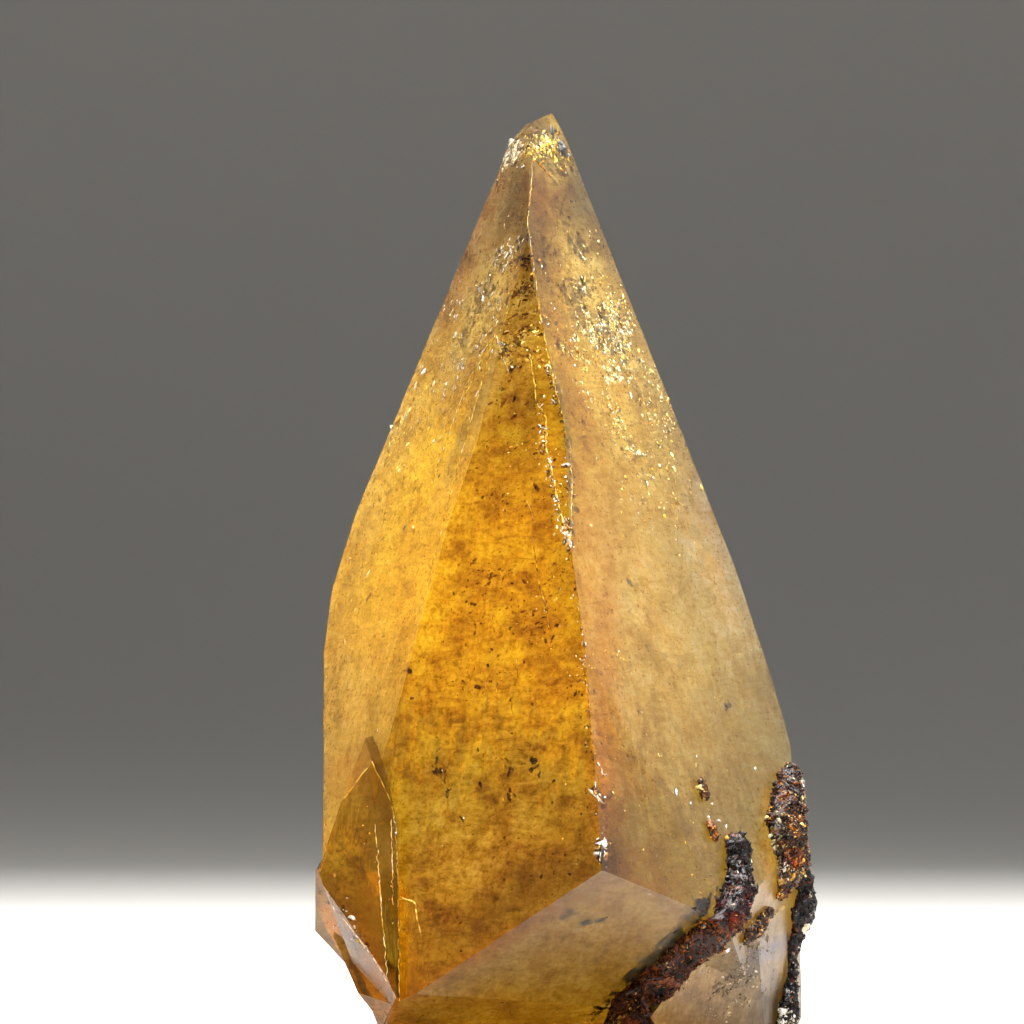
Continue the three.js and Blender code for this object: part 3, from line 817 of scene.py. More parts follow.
# The colours of the flecks, the grit, the bruises and the chips, whose white is partly painted glints, and
# the veils, each with its weight.
BRIGHT = [(2, "#fff4d4"), (4, "#ffe6a0"), (3, "#f4cc64"), (1, "#c89028"), (1, "#7c6434")]
GOLDEN = [(1, "#fff0c0"), (3, "#ffdc74"), (4, "#f4bc38"), (2, "#c88c1c")]
SILVER = [(3, "#fff6ea"), (3, "#f8e4bc"), (2, "#dcc08c"), (1, "#a08058")]
BROWN = [(1, "#7c4008"), (3, "#a06410"), (4, "#b87c18"), (2, "#d09c30")]
GREY = [(3, "#50482c"), (3, "#786848"), (2, "#a09470")]
# Near-black colours of the band's painted shadow.
BAND_SHADOW = [(3, "#120a06"), (2, "#2c1a0c"), (1, "#4c3018")]
TIP_GREY_REFLECTION = [(2, "#5c5c5c"), (2, "#74787c"), (1, "#403c38")]
TIP_GOLD = [(3, "#ffe47c"), (3, "#fcd04c"), (2, "#e8a828"), (1, "#fff4c8")]
TIP_AMBER = [(3, "#f0a418"), (1, "#ffd860")]
TIP_BROWN = [(2, "#b07840"), (2, "#dca860"), (1, "#8c5828")]
TIP_CREAM = [(3, "#f4e4c0"), (2, "#dcc490"), (1, "#b88c58")]
PALE_EDGE = [(2, "#e8c8a4"), (1, "#c89868")]
BRUISED_AND_GLINTING = [(4, "#fff0e4"), (3, "#f4d4b0"), (2.5, "#e8b450"), (1.5, "#b07830")]
PAINTED_CHIP_GLINTS = [(4, "#fff4f0"), (1, "#e8d8d0")]
VEIL = [(1, "#e0d0b8"), (3, "#b8a488"), (3, "#8c7a60"), (1, "#5c5044")]
# Patches of flecks: middle across and up, long and short spread, turn of the long way, count, size,
# how long a fleck is against its width, how deep they lie, and the colours.
FLECKS = [
    (2.2, 98.2, 4, 1.5, 113, 1300, 0.5, 1.6, 0.0, BRIGHT),
    (4, 93, 5, 2.2, 113, 1500, 0.42, 1.6, 0.0, BRIGHT),
    (6.6, 85.4, 6, 3, 113, 1300, 0.38, 1.7, 0.0, BRIGHT),
    (9.2, 77.4, 5, 3.4, 113, 700, 0.34, 1.7, 0.01, BRIGHT),
    (5, 90, 9, 3, 113, 500, 0.36, 1.5, 0.3, GOLDEN), (3, 97, 3, 1.0, 113, 90, 0.8, 1.4, 0.0, GREY),
    (11.2, 72.8, 3.5, 1.5, 113, 200, 0.4, 1.5, 0.05, GOLDEN),
    (15, 66, 10, 3, 113, 300, 0.26, 1.6, 0.1, BRIGHT),
    (5.6, 56.6, 16, 5, 100, 700, 0.22, 1.6, 0.05, BRIGHT),
    (12, 30.6, 10, 7, 100, 260, 0.24, 1.4, 0.2, GREY),
    (14, 40, 14, 5, 107, 360, 0.2, 1.5, 0.05, GOLDEN),
    (-10.5, 95.8, 5, 1.0, 66, 700, 0.5, 2.4, 0.0, SILVER),
    (-13, 91, 5, 1.6, 66, 500, 0.4, 2.4, 0.0, SILVER),
    (-13.4, 99, 8, 2, 66, 300, 0.36, 2.2, 0.1, SILVER),
    (-21.7, 78.7, 6, 1.8, 66, 300, 0.45, 2.8, 0.05, GOLDEN),
    (-25, 67, 8, 1.6, 72, 220, 0.4, 2.4, 0.1, GOLDEN),
    (-18.6, 72, 8, 1, 66, 200, 0.42, 2.4, 0.05, BRIGHT),
    (-28, 51, 7, 2, 84, 90, 0.25, 1.8, 0.1, GOLDEN), (-8, 109, 6, 1.5, 66, 120, 0.35, 2, 0.1, GOLDEN),
    (-6.1, 89.7, 3, 1.6, 20, 240, 0.5, 2.2, 0.05, GOLDEN),
    (-6.8, 95.6, 3, 1.2, 70, 140, 0.4, 2.0, 0.1, GOLDEN),
    (-8.7, 76, 6, 5, 15, 300, 0.3, 2.6, 0.2, GOLDEN),
    (-10, 61.8, 12, 6, 80, 340, 0.26, 2.2, 0.2, GOLDEN),
    (-16, 34, 2.5, 0.3, 115, 60, 0.42, 2.2, 0.05, BRIGHT),
    (-9.4, 35, 2.4, 1.2, 115, 90, 0.42, 2.0, 0.05, GOLDEN),
    (-11, 22.7, 7, 5, 0, 130, 0.22, 1.6, 0.2, GOLDEN),
    (-25.5, 22, 8, 2.5, 84, 60, 0.25, 1.4, 0.1, GOLDEN),
    # The point: gold plates, and steel-grey ones at its right that paint in a grey reflection.
    (-2.6, 115.4, 1.2, 0.8, 125, 700, 0.6, 1.4, 0.0, TIP_GOLD),
    (-2.2, 113.6, 1.4, 0.7, 145, 500, 0.5, 1.6, 0.0, TIP_GOLD),
    (-1.9, 118.6, 0.7, 0.3, 115, 60, 0.7, 1.2, 0.02, TIP_AMBER),
    (-1.7, 117.4, 0.4, 0.3, 115, 14, 1.1, 1.3, 0.0, TIP_GREY_REFLECTION),
    (-0.7, 115.6, 0.8, 0.35, 110, 26, 1.2, 1.3, 0.0, TIP_GREY_REFLECTION),
    (-3.8, 117.6, 1.0, 0.6, 60, 60, 0.6, 1.3, 0.05, TIP_BROWN),
    (-6.8, 115.4, 1.5, 0.6, 60, 240, 0.8, 1.4, 0.02, TIP_CREAM),
    # Pale veils in the foot.
    (22, 8.4, 3.4, 2, 30, 700, 0.32, 1.8, 0.02, VEIL),
    (25, 13.4, 2.4, 1.6, 80, 320, 0.3, 1.8, 0.02, VEIL),
    (17, 5, 3, 1.6, 30, 260, 0.36, 1.6, 0.02, VEIL),
    (-28.4, 14.4, 2.6, 0.7, 118, 260, 0.36, 1.8, 0.02, VEIL),
    # Brown and dark grit in clouds.
    (-10, 59.2, 2.6, 1.7, 10, 150, 0.34, 1.8, 1.2, BROWN),
    (-4.2, 54, 2.2, 1.8, 40, 110, 0.32, 1.8, 1.2, BROWN),
    (-6, 69.6, 3.2, 1.2, 8, 80, 0.3, 1.8, 1.0, BROWN), (-12, 48, 4, 2.5, 0, 80, 0.3, 1.6, 1.0, BROWN),
    (-3, 45, 4, 2.4, 75, 80, 0.3, 1.6, 1.0, BROWN), (-1.6, 58, 3.4, 0.8, 82, 60, 0.28, 1.8, 0.7, BROWN),
    (-7, 81, 4, 3, 50, 80, 0.28, 2, 0.8, BROWN), (-6.1, 100.4, 1.2, 0.4, 0, 70, 0.4, 2.2, 0.3, BROWN),
    (-6.1, 96.8, 1.4, 0.4, 0, 70, 0.4, 2.2, 0.3, BROWN), (4.4, 36, 7, 1, 87, 160, 0.3, 1.6, 0.6, BROWN),
    (4.6, 53, 10, 1, 86, 160, 0.28, 1.6, 0.5, BROWN), (-14, 58, 8, 4, 80, 60, 0.24, 1.6, 1.0, BROWN),
    (-1, 92, 6, 0.7, 103, 160, 0.3, 2, 0.2, BROWN), (-12, 103, 8, 2, 66, 80, 0.3, 2.2, 0.3, BROWN),
    (-4, 24, 6, 3, 45, 80, 0.3, 1.6, 0.8, BROWN),
    # Dark flecks under the calcite along the sphalerite band's upper edge: a painted shadow of the band.
    (11.6, 11, 5.6, 0.5, 45, 420, 0.7, 2.0, 0.5, BAND_SHADOW),
    (17.6, 17.8, 2.4, 0.4, 40, 120, 0.6, 2.0, 0.4, BAND_SHADOW),
    (19.4, 23.4, 2, 0.3, 90, 40, 0.5, 1.6, 0.5, BAND_SHADOW),
]
# Splinters: across, up, length, width, turn in degrees from level.
DARK_SPLINTERS = [
    (4.6, 80.9, 1.5, 0.35, -20), (5.7, 80.4, 1.3, 0.3, -35), (6.9, 81.3, 1.0, 0.3, 60),
    (7.4, 78.6, 0.7, 0.3, 0), (4.8, 59.4, 0.9, 0.3, 60), (8, 59.1, 1.6, 0.5, -10),
    (9.1, 58.8, 1.2, 0.3, 25), (10.4, 50.7, 0.9, 0.3, 80), (26.4, 36, 1.4, 0.25, 10),
    (-11, 69.9, 0.9, 0.2, 40), (-9.8, 70.3, 0.8, 0.2, 65), (-8.4, 70.2, 0.8, 0.2, 50),
    (-17.1, 63, 1.0, 0.25, 70), (-19.7, 55.3, 1.1, 0.25, 75), (-18.7, 62.4, 0.8, 0.2, 80),
    (-19.9, 58, 0.7, 0.2, 60), (-1.9, 33.7, 0.5, 0.4, 0), (14.3, 33, 0.7, 0.2, 50),
    (23.8, 41, 0.9, 0.2, 30), (12, 43.7, 0.7, 0.25, 0), (-1.6, 74.9, 0.9, 0.3, 70),
    (-13.2, 51, 0.7, 0.15, 80), (1.7, 44.6, 0.8, 0.3, 60), (-7, 82.6, 1.1, 0.3, 75),
    (3.4, 96.8, 0.9, 0.5, 60), (4.8, 95, 1.1, 0.5, 80), (5.2, 93.6, 0.8, 0.4, 40),
    (6.6, 91, 0.6, 0.3, 60),
]
RED_SPLINTERS = [
    (-4.6, 36.3, 1.2, 0.8, 60), (-4.1, 35.5, 1.4, 0.5, 30), (-4.8, 35, 1.0, 0.5, -40),
    (-3.8, 34.6, 0.8, 0.35, 80), (0, 17.1, 1.6, 1.3, 30), (1, 16.6, 1.2, 0.8, -20),
    (-0.1, 18.4, 0.7, 0.5, 60), (21.2, 42.9, 1.5, 1.1, 80), (-1.2, 89.7, 2.2, 0.5, 70),
    (0.3, 77.2, 1.7, 0.6, -65), (-2.8, 100.2, 1.6, 0.7, 60),
]
OLIVE_SPLINTERS = [
    (2.2, 15.4, 2.4, 0.9, 10), (4.1, 15.8, 2.4, 0.8, 12), (2.8, 12.8, 0.9, 0.4, 0),
]
# Runs of bruises along the edges, whose white is partly painted glints: across and up at both ends, count,
# size.
BRUISES = [
    (-5, 104.2, -4.8, 103.2, 12, 0.5), (-4.8, 103, -4.1, 98, 16, 0.22), (-4, 98, -2.4, 88, 20, 0.25),
    (-2.4, 87, -0.9, 82.4, 80, 0.6), (-0.9, 82.4, 0.3, 76.5, 60, 0.45), (0.2, 77, 0.7, 70, 70, 0.55),
    (0.7, 70, 0.2, 63.6, 60, 0.55), (-4.6, 88, -3.8, 82, 24, 0.35), (-3.8, 82, -2.7, 76, 44, 0.5),
    (-2.7, 76, -1.9, 71, 44, 0.5), (-1.9, 71, 0.1, 64.5, 44, 0.5), (0.1, 64.4, 0.3, 62.8, 20, 0.7),
    (0.3, 62.8, 2, 50, 26, 0.34), (2, 50, 3.2, 38, 26, 0.4), (3.2, 38, 4.4, 34, 18, 0.6),
    (3.4, 33, 5.2, 30, 26, 0.85), (4.3, 26.4, 4.4, 24, 18, 1.1), (-7.4, 116.2, -6.1, 112.8, 30, 0.7),
    (4.2, 30, 4.4, 26, 8, 0.4), (4.3, 23.6, 4.6, 21, 8, 0.4), (-8.6, 90.2, -7.2, 86.6, 24, 0.45),
    (-4.4, 118.2, -3.2, 117.4, 10, 0.5), (0.2, 114.4, 0.6, 112.4, 7, 0.5),
    (-9.1, 90.6, -7.1, 86, 16, 0.4), (11.4, 86, 11.8, 85.2, 3, 0.5), (20.8, 63.6, 21, 62.8, 3, 0.5),
    (-27.4, 13.6, -25.8, 12, 24, 0.6), (-22.4, 29, -21.8, 19, 16, 0.3),
]
# Single white chips, whose white is a painted glint: across, up, size, turn, and how far they stand off the
# calcite's face.
CHIPS = [
    (12.7, 46.2, 1.1, 60, 0), (9.8, 57.5, 1.0, 70, 0), (14, 32, 1.6, 80, 0), (10.5, 19.2, 1.2, 10, 0),
    (6.2, 80, 0.8, 60, 0), (15.8, 30.5, 0.9, 60, 0), (9.2, 49.5, 0.5, 80, 0), (3.5, 29.5, 0.7, 50, 0),
    (18.2, 28.6, 1.2, 70, 0.1), (19.4, 28.2, 1.1, 30, 0.2), (20.4, 27.4, 0.9, 60, 0.2),
    (18.6, 30.4, 0.8, 40, 0.1), (11.3, 24, 0.4, 0, 0), (7.8, 37, 0.4, 50, 0), (9, 35.5, 0.4, 60, 0),
    (15.3, 37.4, 0.4, 30, 0), (7.4, 12.6, 0.4, 0, 0), (20.1, 12.5, 1.3, 0, 1.2),
    (20.2, 12.3, 1.1, 60, 1.3), (22.4, 16.4, 0.9, 60, 0.2), (16.7, 36.4, 0.7, 70, 0),
    (24.4, 34.6, 0.8, 60, 0.1),
]
# Cracks and films: the points of a line across and up, its width at both ends, and its colours.
FILMS = [
    ([(-4.5, 64.5), (-4, 61.1), (-3.5, 57.9), (-2.6, 55.5), (-2.1, 50.6)], 0.28, 0.1, BROWN),
    ([(-10.5, 46.3), (-10.4, 43.8)], 0.18, 0.18, BROWN),
    ([(-9.1, 46.2), (-9.1, 43.9), (-10.3, 43.4)], 0.18, 0.1, BROWN),
    ([(-6.6, 49), (-6.4, 46.8), (-7.2, 44.6), (-7.1, 42)], 0.24, 0.1, BROWN),
    ([(-21.6, 18.6), (-19.6, 18), (-18.8, 13.7)], 0.3, 0.1, GOLDEN),
    ([(10.2, 73), (12.2, 71), (15.6, 68.5)], 0.14, 0.08, BRIGHT),
    ([(-5.2, 69.5), (-4.4, 67), (-4.6, 65)], 0.2, 0.1, BROWN),
    ([(-4.5, 113.8), (-4.7, 109.6), (-5.1, 106.2), (-4.9, 103.6)], 0.14, 0.2, GOLDEN),
    ([(-4.9, 103.6), (-4.2, 98.4), (-3.4, 93), (-2.5, 88), (-1.2, 82.6), (0.2, 77.1), (0.6, 71.8),
      (0.3, 63.8)], 0.2, 0.24, GOLDEN),
    ([(-4.8, 88.4), (-3.9, 82), (-2.7, 80), (-2.8, 76.4), (-2.1, 73.7), (-1.5, 70.5),
      (0.2, 63.8)], 0.2, 0.24, GOLDEN),
    ([(0.3, 63.8), (1.3, 56.8), (1.8, 51.5), (3.1, 38.7), (4.3, 31.1)], 0.14, 0.14, BROWN),
    ([(-0.3, 109.2), (-1.8, 103.4)], 0.16, 0.22, BROWN),
    ([(-0.9, 107.6), (-2.1, 103.6)], 0.1, 0.2, BROWN),
    ([(-4.3, 113.9), (-2.6, 112.2), (-1.3, 110.6)], 0.6, 0.3, BROWN),
    ([(-10, 90.4), (-12.2, 85.4), (-14.6, 79.8), (-16.6, 74.6), (-18.4, 69)], 0.2, 0.1, GOLDEN),
    ([(-9.1, 90.9), (-8.4, 88.2), (-7.4, 85.6)], 0.1, 0.16, BRIGHT),
    ([(-9.4, 90.9), (-11.8, 82), (-14.4, 73), (-16.6, 64.2), (-18.9, 55.3)], 0.16, 0.1, GOLDEN),
    ([(-9.4, 91), (-11.2, 88.2), (-13.2, 84), (-15.4, 78)], 0.12, 0.1, BRIGHT),
    ([(-24.7, 28), (-23.9, 18), (-23.1, 8.5)], 0.14, 0.12, BRIGHT),
    ([(-22.7, 28.5), (-22.4, 17.7)], 0.1, 0.1, BRIGHT),
    ([(-25.2, 36), (-22.9, 31.2), (-22.1, 27.7), (-21.8, 18.7), (-21.6, 5.5)], 0.14, 0.16, GOLDEN),
    ([(-25.8, 35.1), (-29.1, 30.7)], 0.1, 0.1, GOLDEN),
    ([(-30.8, 19.4), (-29.8, 17), (-27.7, 14.7), (-24.7, 10.8), (-21.9, 5.9)], 0.3, 0.4, PALE_EDGE),
]


class CRYSTAL_OT_flecks(bpy.types.Operator):
    """Builds the flecks and the grit: tiny thin grains that lie nearly level with the face above"""
    bl_idname = "crystal.flecks"
    bl_label = "Flecks and grit"

    def execute(self, context):
        factor = context.scene.grains.fleck_size
        rng = np.random.default_rng(7)
        parts, tones = [], []
        for across, up, long, short, turn, count, size, stretch, deep, palette in FLECKS:
            a, b = rng.normal(0, long, count), rng.normal(0, short, count)
            cos, sin = math.cos(math.radians(turn)), math.sin(math.radians(turn))
            x, z = across + a * cos - b * sin, up + a * sin + b * cos
            # They lie in clumps that are drawn out along the patch's long way.
            place = np.stack([x * cos + z * sin, (z * cos - x * sin) * 2, np.full(count, 0.5)], 1)
            clump = cloud(place, CLUMP_WIDTH, seed=5)
            inside = (z > LOWEST_FLECK) & (z < HIGHEST_FLECK) & (clump > rng.normal(-0.1, 0.25, count))
            skin, normal = front_skin(x[inside], z[inside])[:2]
            length = np.clip(factor * size * rng.lognormal(-0.25, 0.5, len(skin)), *FLECK_LENGTHS)
            axes = lying(normal, turn + rng.normal(0, 28, len(skin)), tilt=9, rng=rng)
            seat = skin - normal * (rng.exponential(deep, len(skin)) - 0.01)[:, None]
            parts.append(shards(seat, axes, length * math.sqrt(stretch), length / math.sqrt(stretch),
                                np.full(len(skin), FLECK_THICKNESS), rng))
            tones.append(np.repeat(picked_tones(palette, len(skin), rng), SHARD_FACES, axis=0))
        points, triangles = merged(parts)
        # Thin air films and calcite plates in tiny cracks: pale gold with a satin gloss; their palest
        # colours are painted glints, which make them glow.
        material = grain_material("gold_flecks", scale=0.8, roughness=0.5, specular=0.35)
        toned_piece("gold_flecks", points, triangles, np.vstack(tones), material)
        return {"FINISHED"}


class CRYSTAL_OT_splinters(bpy.types.Operator):
    """Builds the dark, red and olive splinters that are sealed just under the faces"""
    bl_idname = "crystal.splinters"
    bl_label = "Splinters"

    def execute(self, context):
        depth = context.scene.grains.splinter_depth / MM
        rng = np.random.default_rng(11)
        for name, table, palette in (
            ("dark_splinters", DARK_SPLINTERS, [(2, "#1c1006"), (2, "#3a2410"), (1, "#5c3c14")]),
            ("red_splinters", RED_SPLINTERS, [(2, "#5c2404"), (2, "#8c3c08"), (1, "#b8641c")]),
            ("olive_splinters", OLIVE_SPLINTERS, [(1, "#4a340c"), (1, "#6e5010")]),
        ):
            t = np.repeat(np.array(table, float), 3, axis=0)
            t[:, 0] += rng.normal(0, 0.25, len(t)) * t[:, 3]
            t[:, 1] += rng.normal(0, 0.25, len(t)) * t[:, 3]
            skin, normal, there = front_skin(t[:, 0], t[:, 1])
            t = t[there]
            axes = lying(normal, t[:, 4] + rng.normal(0, 14, len(t)), tilt=7, rng=rng)
            seat = skin - normal * (depth * rng.uniform(0.4, 1.4, len(t)))[:, None]
            long, wide = t[:, 2] * rng.uniform(0.5, 1.0, len(t)), t[:, 3] * rng.uniform(0.6, 1.1, len(t))
            points, triangles = shards(seat, axes, long, wide, np.full(len(t), SPLINTER_THICKNESS), rng)
            tones = np.repeat(picked_tones(palette, len(t), rng), SHARD_FACES, axis=0)
            # Iron-rich sphalerite sealed in the stone while it grew: dark and nearly dull.
            finish = grain_material(name, scale=1.2, roughness=0.45)
            toned_piece(name, points, triangles, tones, finish)
        return {"FINISHED"}


class CRYSTAL_OT_bruises(bpy.types.Operator):
    """Builds the white bruises along the edges, whose white is partly painted glints, and the bright films
    in the fine cracks
    """
    bl_idname = "crystal.bruises"
    bl_label = "Bruises and cracks"

    def execute(self, context):
        s = context.scene.grains
        rng = np.random.default_rng(23)
        rows = [np.array([(x0, z0, x1, z1, size)] * count) for x0, z0, x1, z1, count, size in BRUISES]
        rows = np.vstack(rows)
        t = rng.uniform(0, 1, len(rows))
        x = rows[:, 0] + (rows[:, 2] - rows[:, 0]) * t + rng.normal(0, 0.6, len(rows)) * rows[:, 4]
        z = rows[:, 1] + (rows[:, 3] - rows[:, 1]) * t + rng.normal(0, 0.3, len(rows)) * rows[:, 4]
        skin, normal, there = front_skin(x, z)
        size = (s.bruise_size * rows[:, 4] * rng.lognormal(-0.25, 0.5, len(rows)))[there]
        axes = lying(normal, rng.uniform(0, 180, len(size)), tilt=25, rng=rng)
        seat = skin - normal * (size * 0.14)[:, None]
        parts = [shards(seat, axes, size * 1.15, size * 0.75, size * 0.25, rng)]
        chips = np.array(CHIPS, float)
        skin, normal, there = front_skin(chips[:, 0], chips[:, 1])
        chips = chips[there]
        axes = lying(normal, chips[:, 3], tilt=12, rng=rng)
        size = chips[:, 2]
        seat = skin + normal * (chips[:, 4:5] - 0.1)
        parts.append(shards(seat, axes, size, size * 0.5, size * 0.3, rng))
        points, triangles = merged(parts)
        tones = np.vstack([
            picked_tones(BRUISED_AND_GLINTING, len(parts[0][0]) // SHARD_CORNERS, rng),
            picked_tones(PAINTED_CHIP_GLINTS, len(chips), rng),
        ])
        tones = np.repeat(tones, SHARD_FACES, axis=0)
        # Calcite crushed by knocks: white where it is powdered, with glassy chips; the chips' white and
        # part of the bruises' white are painted glints.
        finish = grain_material("bruised_calcite_and_glints", scale=0.8, roughness=0.22)
        toned_piece("white_bruises_and_glints", points, triangles, tones, finish)

        strips, tones = [], []
        for line, first, last, palette in FILMS:
            line = np.array(line, float)
            run = np.append(0, np.cumsum(np.linalg.norm(np.diff(line, axis=0), axis=1)))
            at = np.linspace(0, run[-1], max(5, int(run[-1] / 0.4)))
            x = np.interp(at, run, line[:, 0]) + rng.normal(0, 0.05, len(at))
            z = np.interp(at, run, line[:, 1])
            skin, normal = front_skin(x, z)[:2]
            way = np.linspace(0, 1, len(skin))
            width = (first + (last - first) * way) * np.sin(0.15 + 2.85 * way) ** 0.3
            width = width * rng.uniform(0.6, 1.15, len(skin))
            strips.append(ribbon((skin + normal * 0.05, normal), width, s.film / MM))
            tones.append(np.vstack([np.repeat(picked_tones(palette, len(skin) - 1, rng), 4, axis=0)] * 2
                                   + [picked_tones(palette, 4, rng)]))
        points, triangles = merged(strips)
        # Air in cracks that have nearly healed: a thin bright line, golden as the stone around it.
        finish = grain_material("crack_films", scale=0.9, roughness=0.25)
        toned_piece("fine_cracks", points, triangles, np.vstack(tones), finish)
        return {"FINISHED"}


# The colours of sphalerite crystals, by weight: black where the crust is thick, brown where light
# comes through it, and golden to orange where it is thin. The pale greys and creams among the black
# and glowing colours are painted glints.
BLACK_CRUST = [(7, "#0a0605"), (4, "#180c09"), (2, "#301612"), (0.5, "#8c7c70"), (0.4, "#e8d4b8")]
BROWN_CRUST = [(4, "#140804"), (5, "#381806"), (5, "#5c2808"), (2, "#8c480e"), (0.4, "#d09c48")]
GLOWING_CRUST = [(5, "#0c0604"), (4, "#2c1406"), (2, "#5c2c0a"), (1.5, "#94540c"), (1, "#c08824"),
                 (0.6, "#e8c880")]
RED_CRUST = [(4, "#180606"), (3, "#380c0a"), (1, "#64201a")]
GOLD_CRUST = [(3, "#2c1406"), (2, "#8c5410"), (2, "#c89028"), (1, "#f0d080")]
WHITE_BITS_AND_GLINTS = [(3, "#f8f0e4"), (2, "#dcd0b8"), (1, "#a89470")]
OLIVE_CRUST = [(3, "#5c5034"), (2, "#8c7c54"), (1, "#c8bc98"), (2, "#2c1c0c")]
FOXY_CRUST = [(2, "#b04814"), (2, "#c87820"), (1, "#e8b850"), (3, "#38100a")]
RED_GRAIN = [(3, "#140a04"), (2, "#4c2408"), (2, "#8c5818"), (1, "#e8c880")]
ORANGE_GRAIN = [(1, "#4c2004"), (3, "#985010"), (3, "#c07c20"), (1, "#f4d090")]
# The lightest that a lump is under its small crystals.
LUMP_LIGHTEST = "#6c3410"
# Each crust: how many crystals grow on it, their size against the usual one, how long they are, the
# record's slot, and its colours from the bottom up with the height in millimetres where each ends.
CRUSTS = {
    "band": (6400, 0.62, 3.0, "sphalerite", [(15.5, BROWN_CRUST), (18.5, RED_CRUST), (99, BLACK_CRUST)]),
    "cluster": (5200, 0.65, 1.6, "sphalerite", [(99, GLOWING_CRUST)]),
    "rim": (3000, 0.75, 1.3, "sphalerite", [(99, BLACK_CRUST)]),
    "rod": (700, 0.6, 1.3, "red_sphalerite", [(99, GLOWING_CRUST)]),
    "grain_upper": (240, 0.5, 1.3, "red_sphalerite", [(99, RED_GRAIN)]),
    "grain_lower": (200, 0.5, 1.3, "orange_sphalerite", [(99, ORANGE_GRAIN)]),
}
# Places on the crusts with colours of their own: across, up, radius, and the colours. The white places
# low on the rim and on its side are painted glints.
CRUST_PLACES = [
    (27.2, 26.4, 1.5, OLIVE_CRUST), (27.4, 23.8, 1.4, OLIVE_CRUST), (27.9, 21.6, 1.4, WHITE_BITS_AND_GLINTS),
    (27.4, 28.8, 0.8, OLIVE_CRUST), (27.6, 19.2, 1.3, FOXY_CRUST), (28.6, 18.4, 1.0, FOXY_CRUST),
    (29.4, 23, 1.5, FOXY_CRUST), (30, 27, 1.3, GOLD_CRUST), (28.6, 21, 0.9, GOLD_CRUST),
    (30.4, 21, 1.0, GOLD_CRUST), (31, 30.6, 0.8, OLIVE_CRUST), (31, 33, 0.7, WHITE_BITS_AND_GLINTS),
    (25.4, 30, 0.8, BLACK_CRUST), (6.6, 2.6, 1.4, GOLD_CRUST), (8.4, 4.8, 0.8, GOLD_CRUST),
    (12.5, 9.6, 0.6, GOLD_CRUST), (15.2, 12.4, 0.5, GOLD_CRUST), (16.6, 15.6, 1.2, FOXY_CRUST),
    (18.6, 20.4, 0.4, WHITE_BITS_AND_GLINTS), (20, 26, 0.7, GOLD_CRUST), (23, 19.4, 1.4, RED_CRUST),
    # The white places on this line and the next are painted glints on the rim.
    (27.4, 3, 1.2, WHITE_BITS_AND_GLINTS), (28.6, 1.6, 1.4, WHITE_BITS_AND_GLINTS), (31, 11, 0.6, WHITE_BITS_AND_GLINTS),
    (31.6, 18, 0.4, WHITE_BITS_AND_GLINTS), (25.2, 13.6, 0.8, GOLD_CRUST),
]


def lump_surface(name):
    """The surface of a crust's solid: its points in millimetres, each only once, and its triangles."""
    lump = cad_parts["sphalerite_" + name].data
    corners = read_array(lump.vertices, "co", 3, np.float64) / MM
    points, where = np.unique(np.round(corners, 4), axis=0, return_inverse=True)
    return points, where.ravel()[read_array(lump.loops, "vertex_index", 1, np.int64).reshape(-1, 3)]


def small_crystals(points, triangles, count, size, stretch, rng):
    """Small crystals grown on a lump: where each one sits, picked by the triangles' areas, and all of
    them as one mesh. They lean by random angles and mostly lie one way where they are long."""
    a, b, c = (points[triangles[:, k]] for k in range(3))
    cross = np.cross(b - a, c - a)
    area = np.linalg.norm(cross, axis=1)
    pick = rng.choice(len(area), count, p=area / area.sum())
    u, v = rng.uniform(0, 1, (2, count, 1))
    u, v = np.where(u + v > 1, 1 - u, u), np.where(u + v > 1, 1 - v, v)
    seat = a[pick] + u * (b - a)[pick] + v * (c - a)[pick]
    normal = cross[pick] / area[pick][:, None]
    grow = size * rng.lognormal(-0.35, 0.5, count)
    turn = 50 + rng.normal(0, 30 if stretch > 1.5 else 90, count)
    axes = lying(normal, turn, tilt=28, rng=rng)
    wide = grow / math.sqrt(stretch) * rng.uniform(0.7, 1, count)
    thick = grow * rng.uniform(0.5, 1, count)
    root = seat - normal * (grow * 0.15)[:, None]
    return seat, shards(root, axes, grow * math.sqrt(stretch), wide, thick, rng)


def crust_tones(points, triangles, seat, zones, rng):
    """The colour of each triangle of a crust, first the lump's and then the small crystals', from the
    zones by height and then from the places with colours of their own. The lump stays dark."""
    lump, count = len(triangles), len(seat)
    level = np.append(points[triangles].mean(axis=1)[:, 2], seat[:, 2] + rng.normal(0, 1.2, count))
    tones = np.zeros((len(level), 3))
    below = -FAR
    for top, palette in zones:
        here = (level > below) & (level <= top)
        tones[here] = picked_tones(palette, here.sum(), rng)
        below = top
    tones[:lump] = np.minimum(tones[:lump], linear(LUMP_LIGHTEST)[:3])
    for across, up, radius, palette in CRUST_PLACES:
        away = np.hypot(seat[:, 0] - LARGE_HEART[0] - across, seat[:, 2] - up)
        near = away < radius * rng.uniform(0.4, 1.2, count)
        here = np.append(np.zeros(lump, bool), near)
        tones[here] = picked_tones(palette, here.sum(), rng)
    return np.vstack([tones[:lump], np.repeat(tones[lump:], SHARD_FACES, axis=0)])


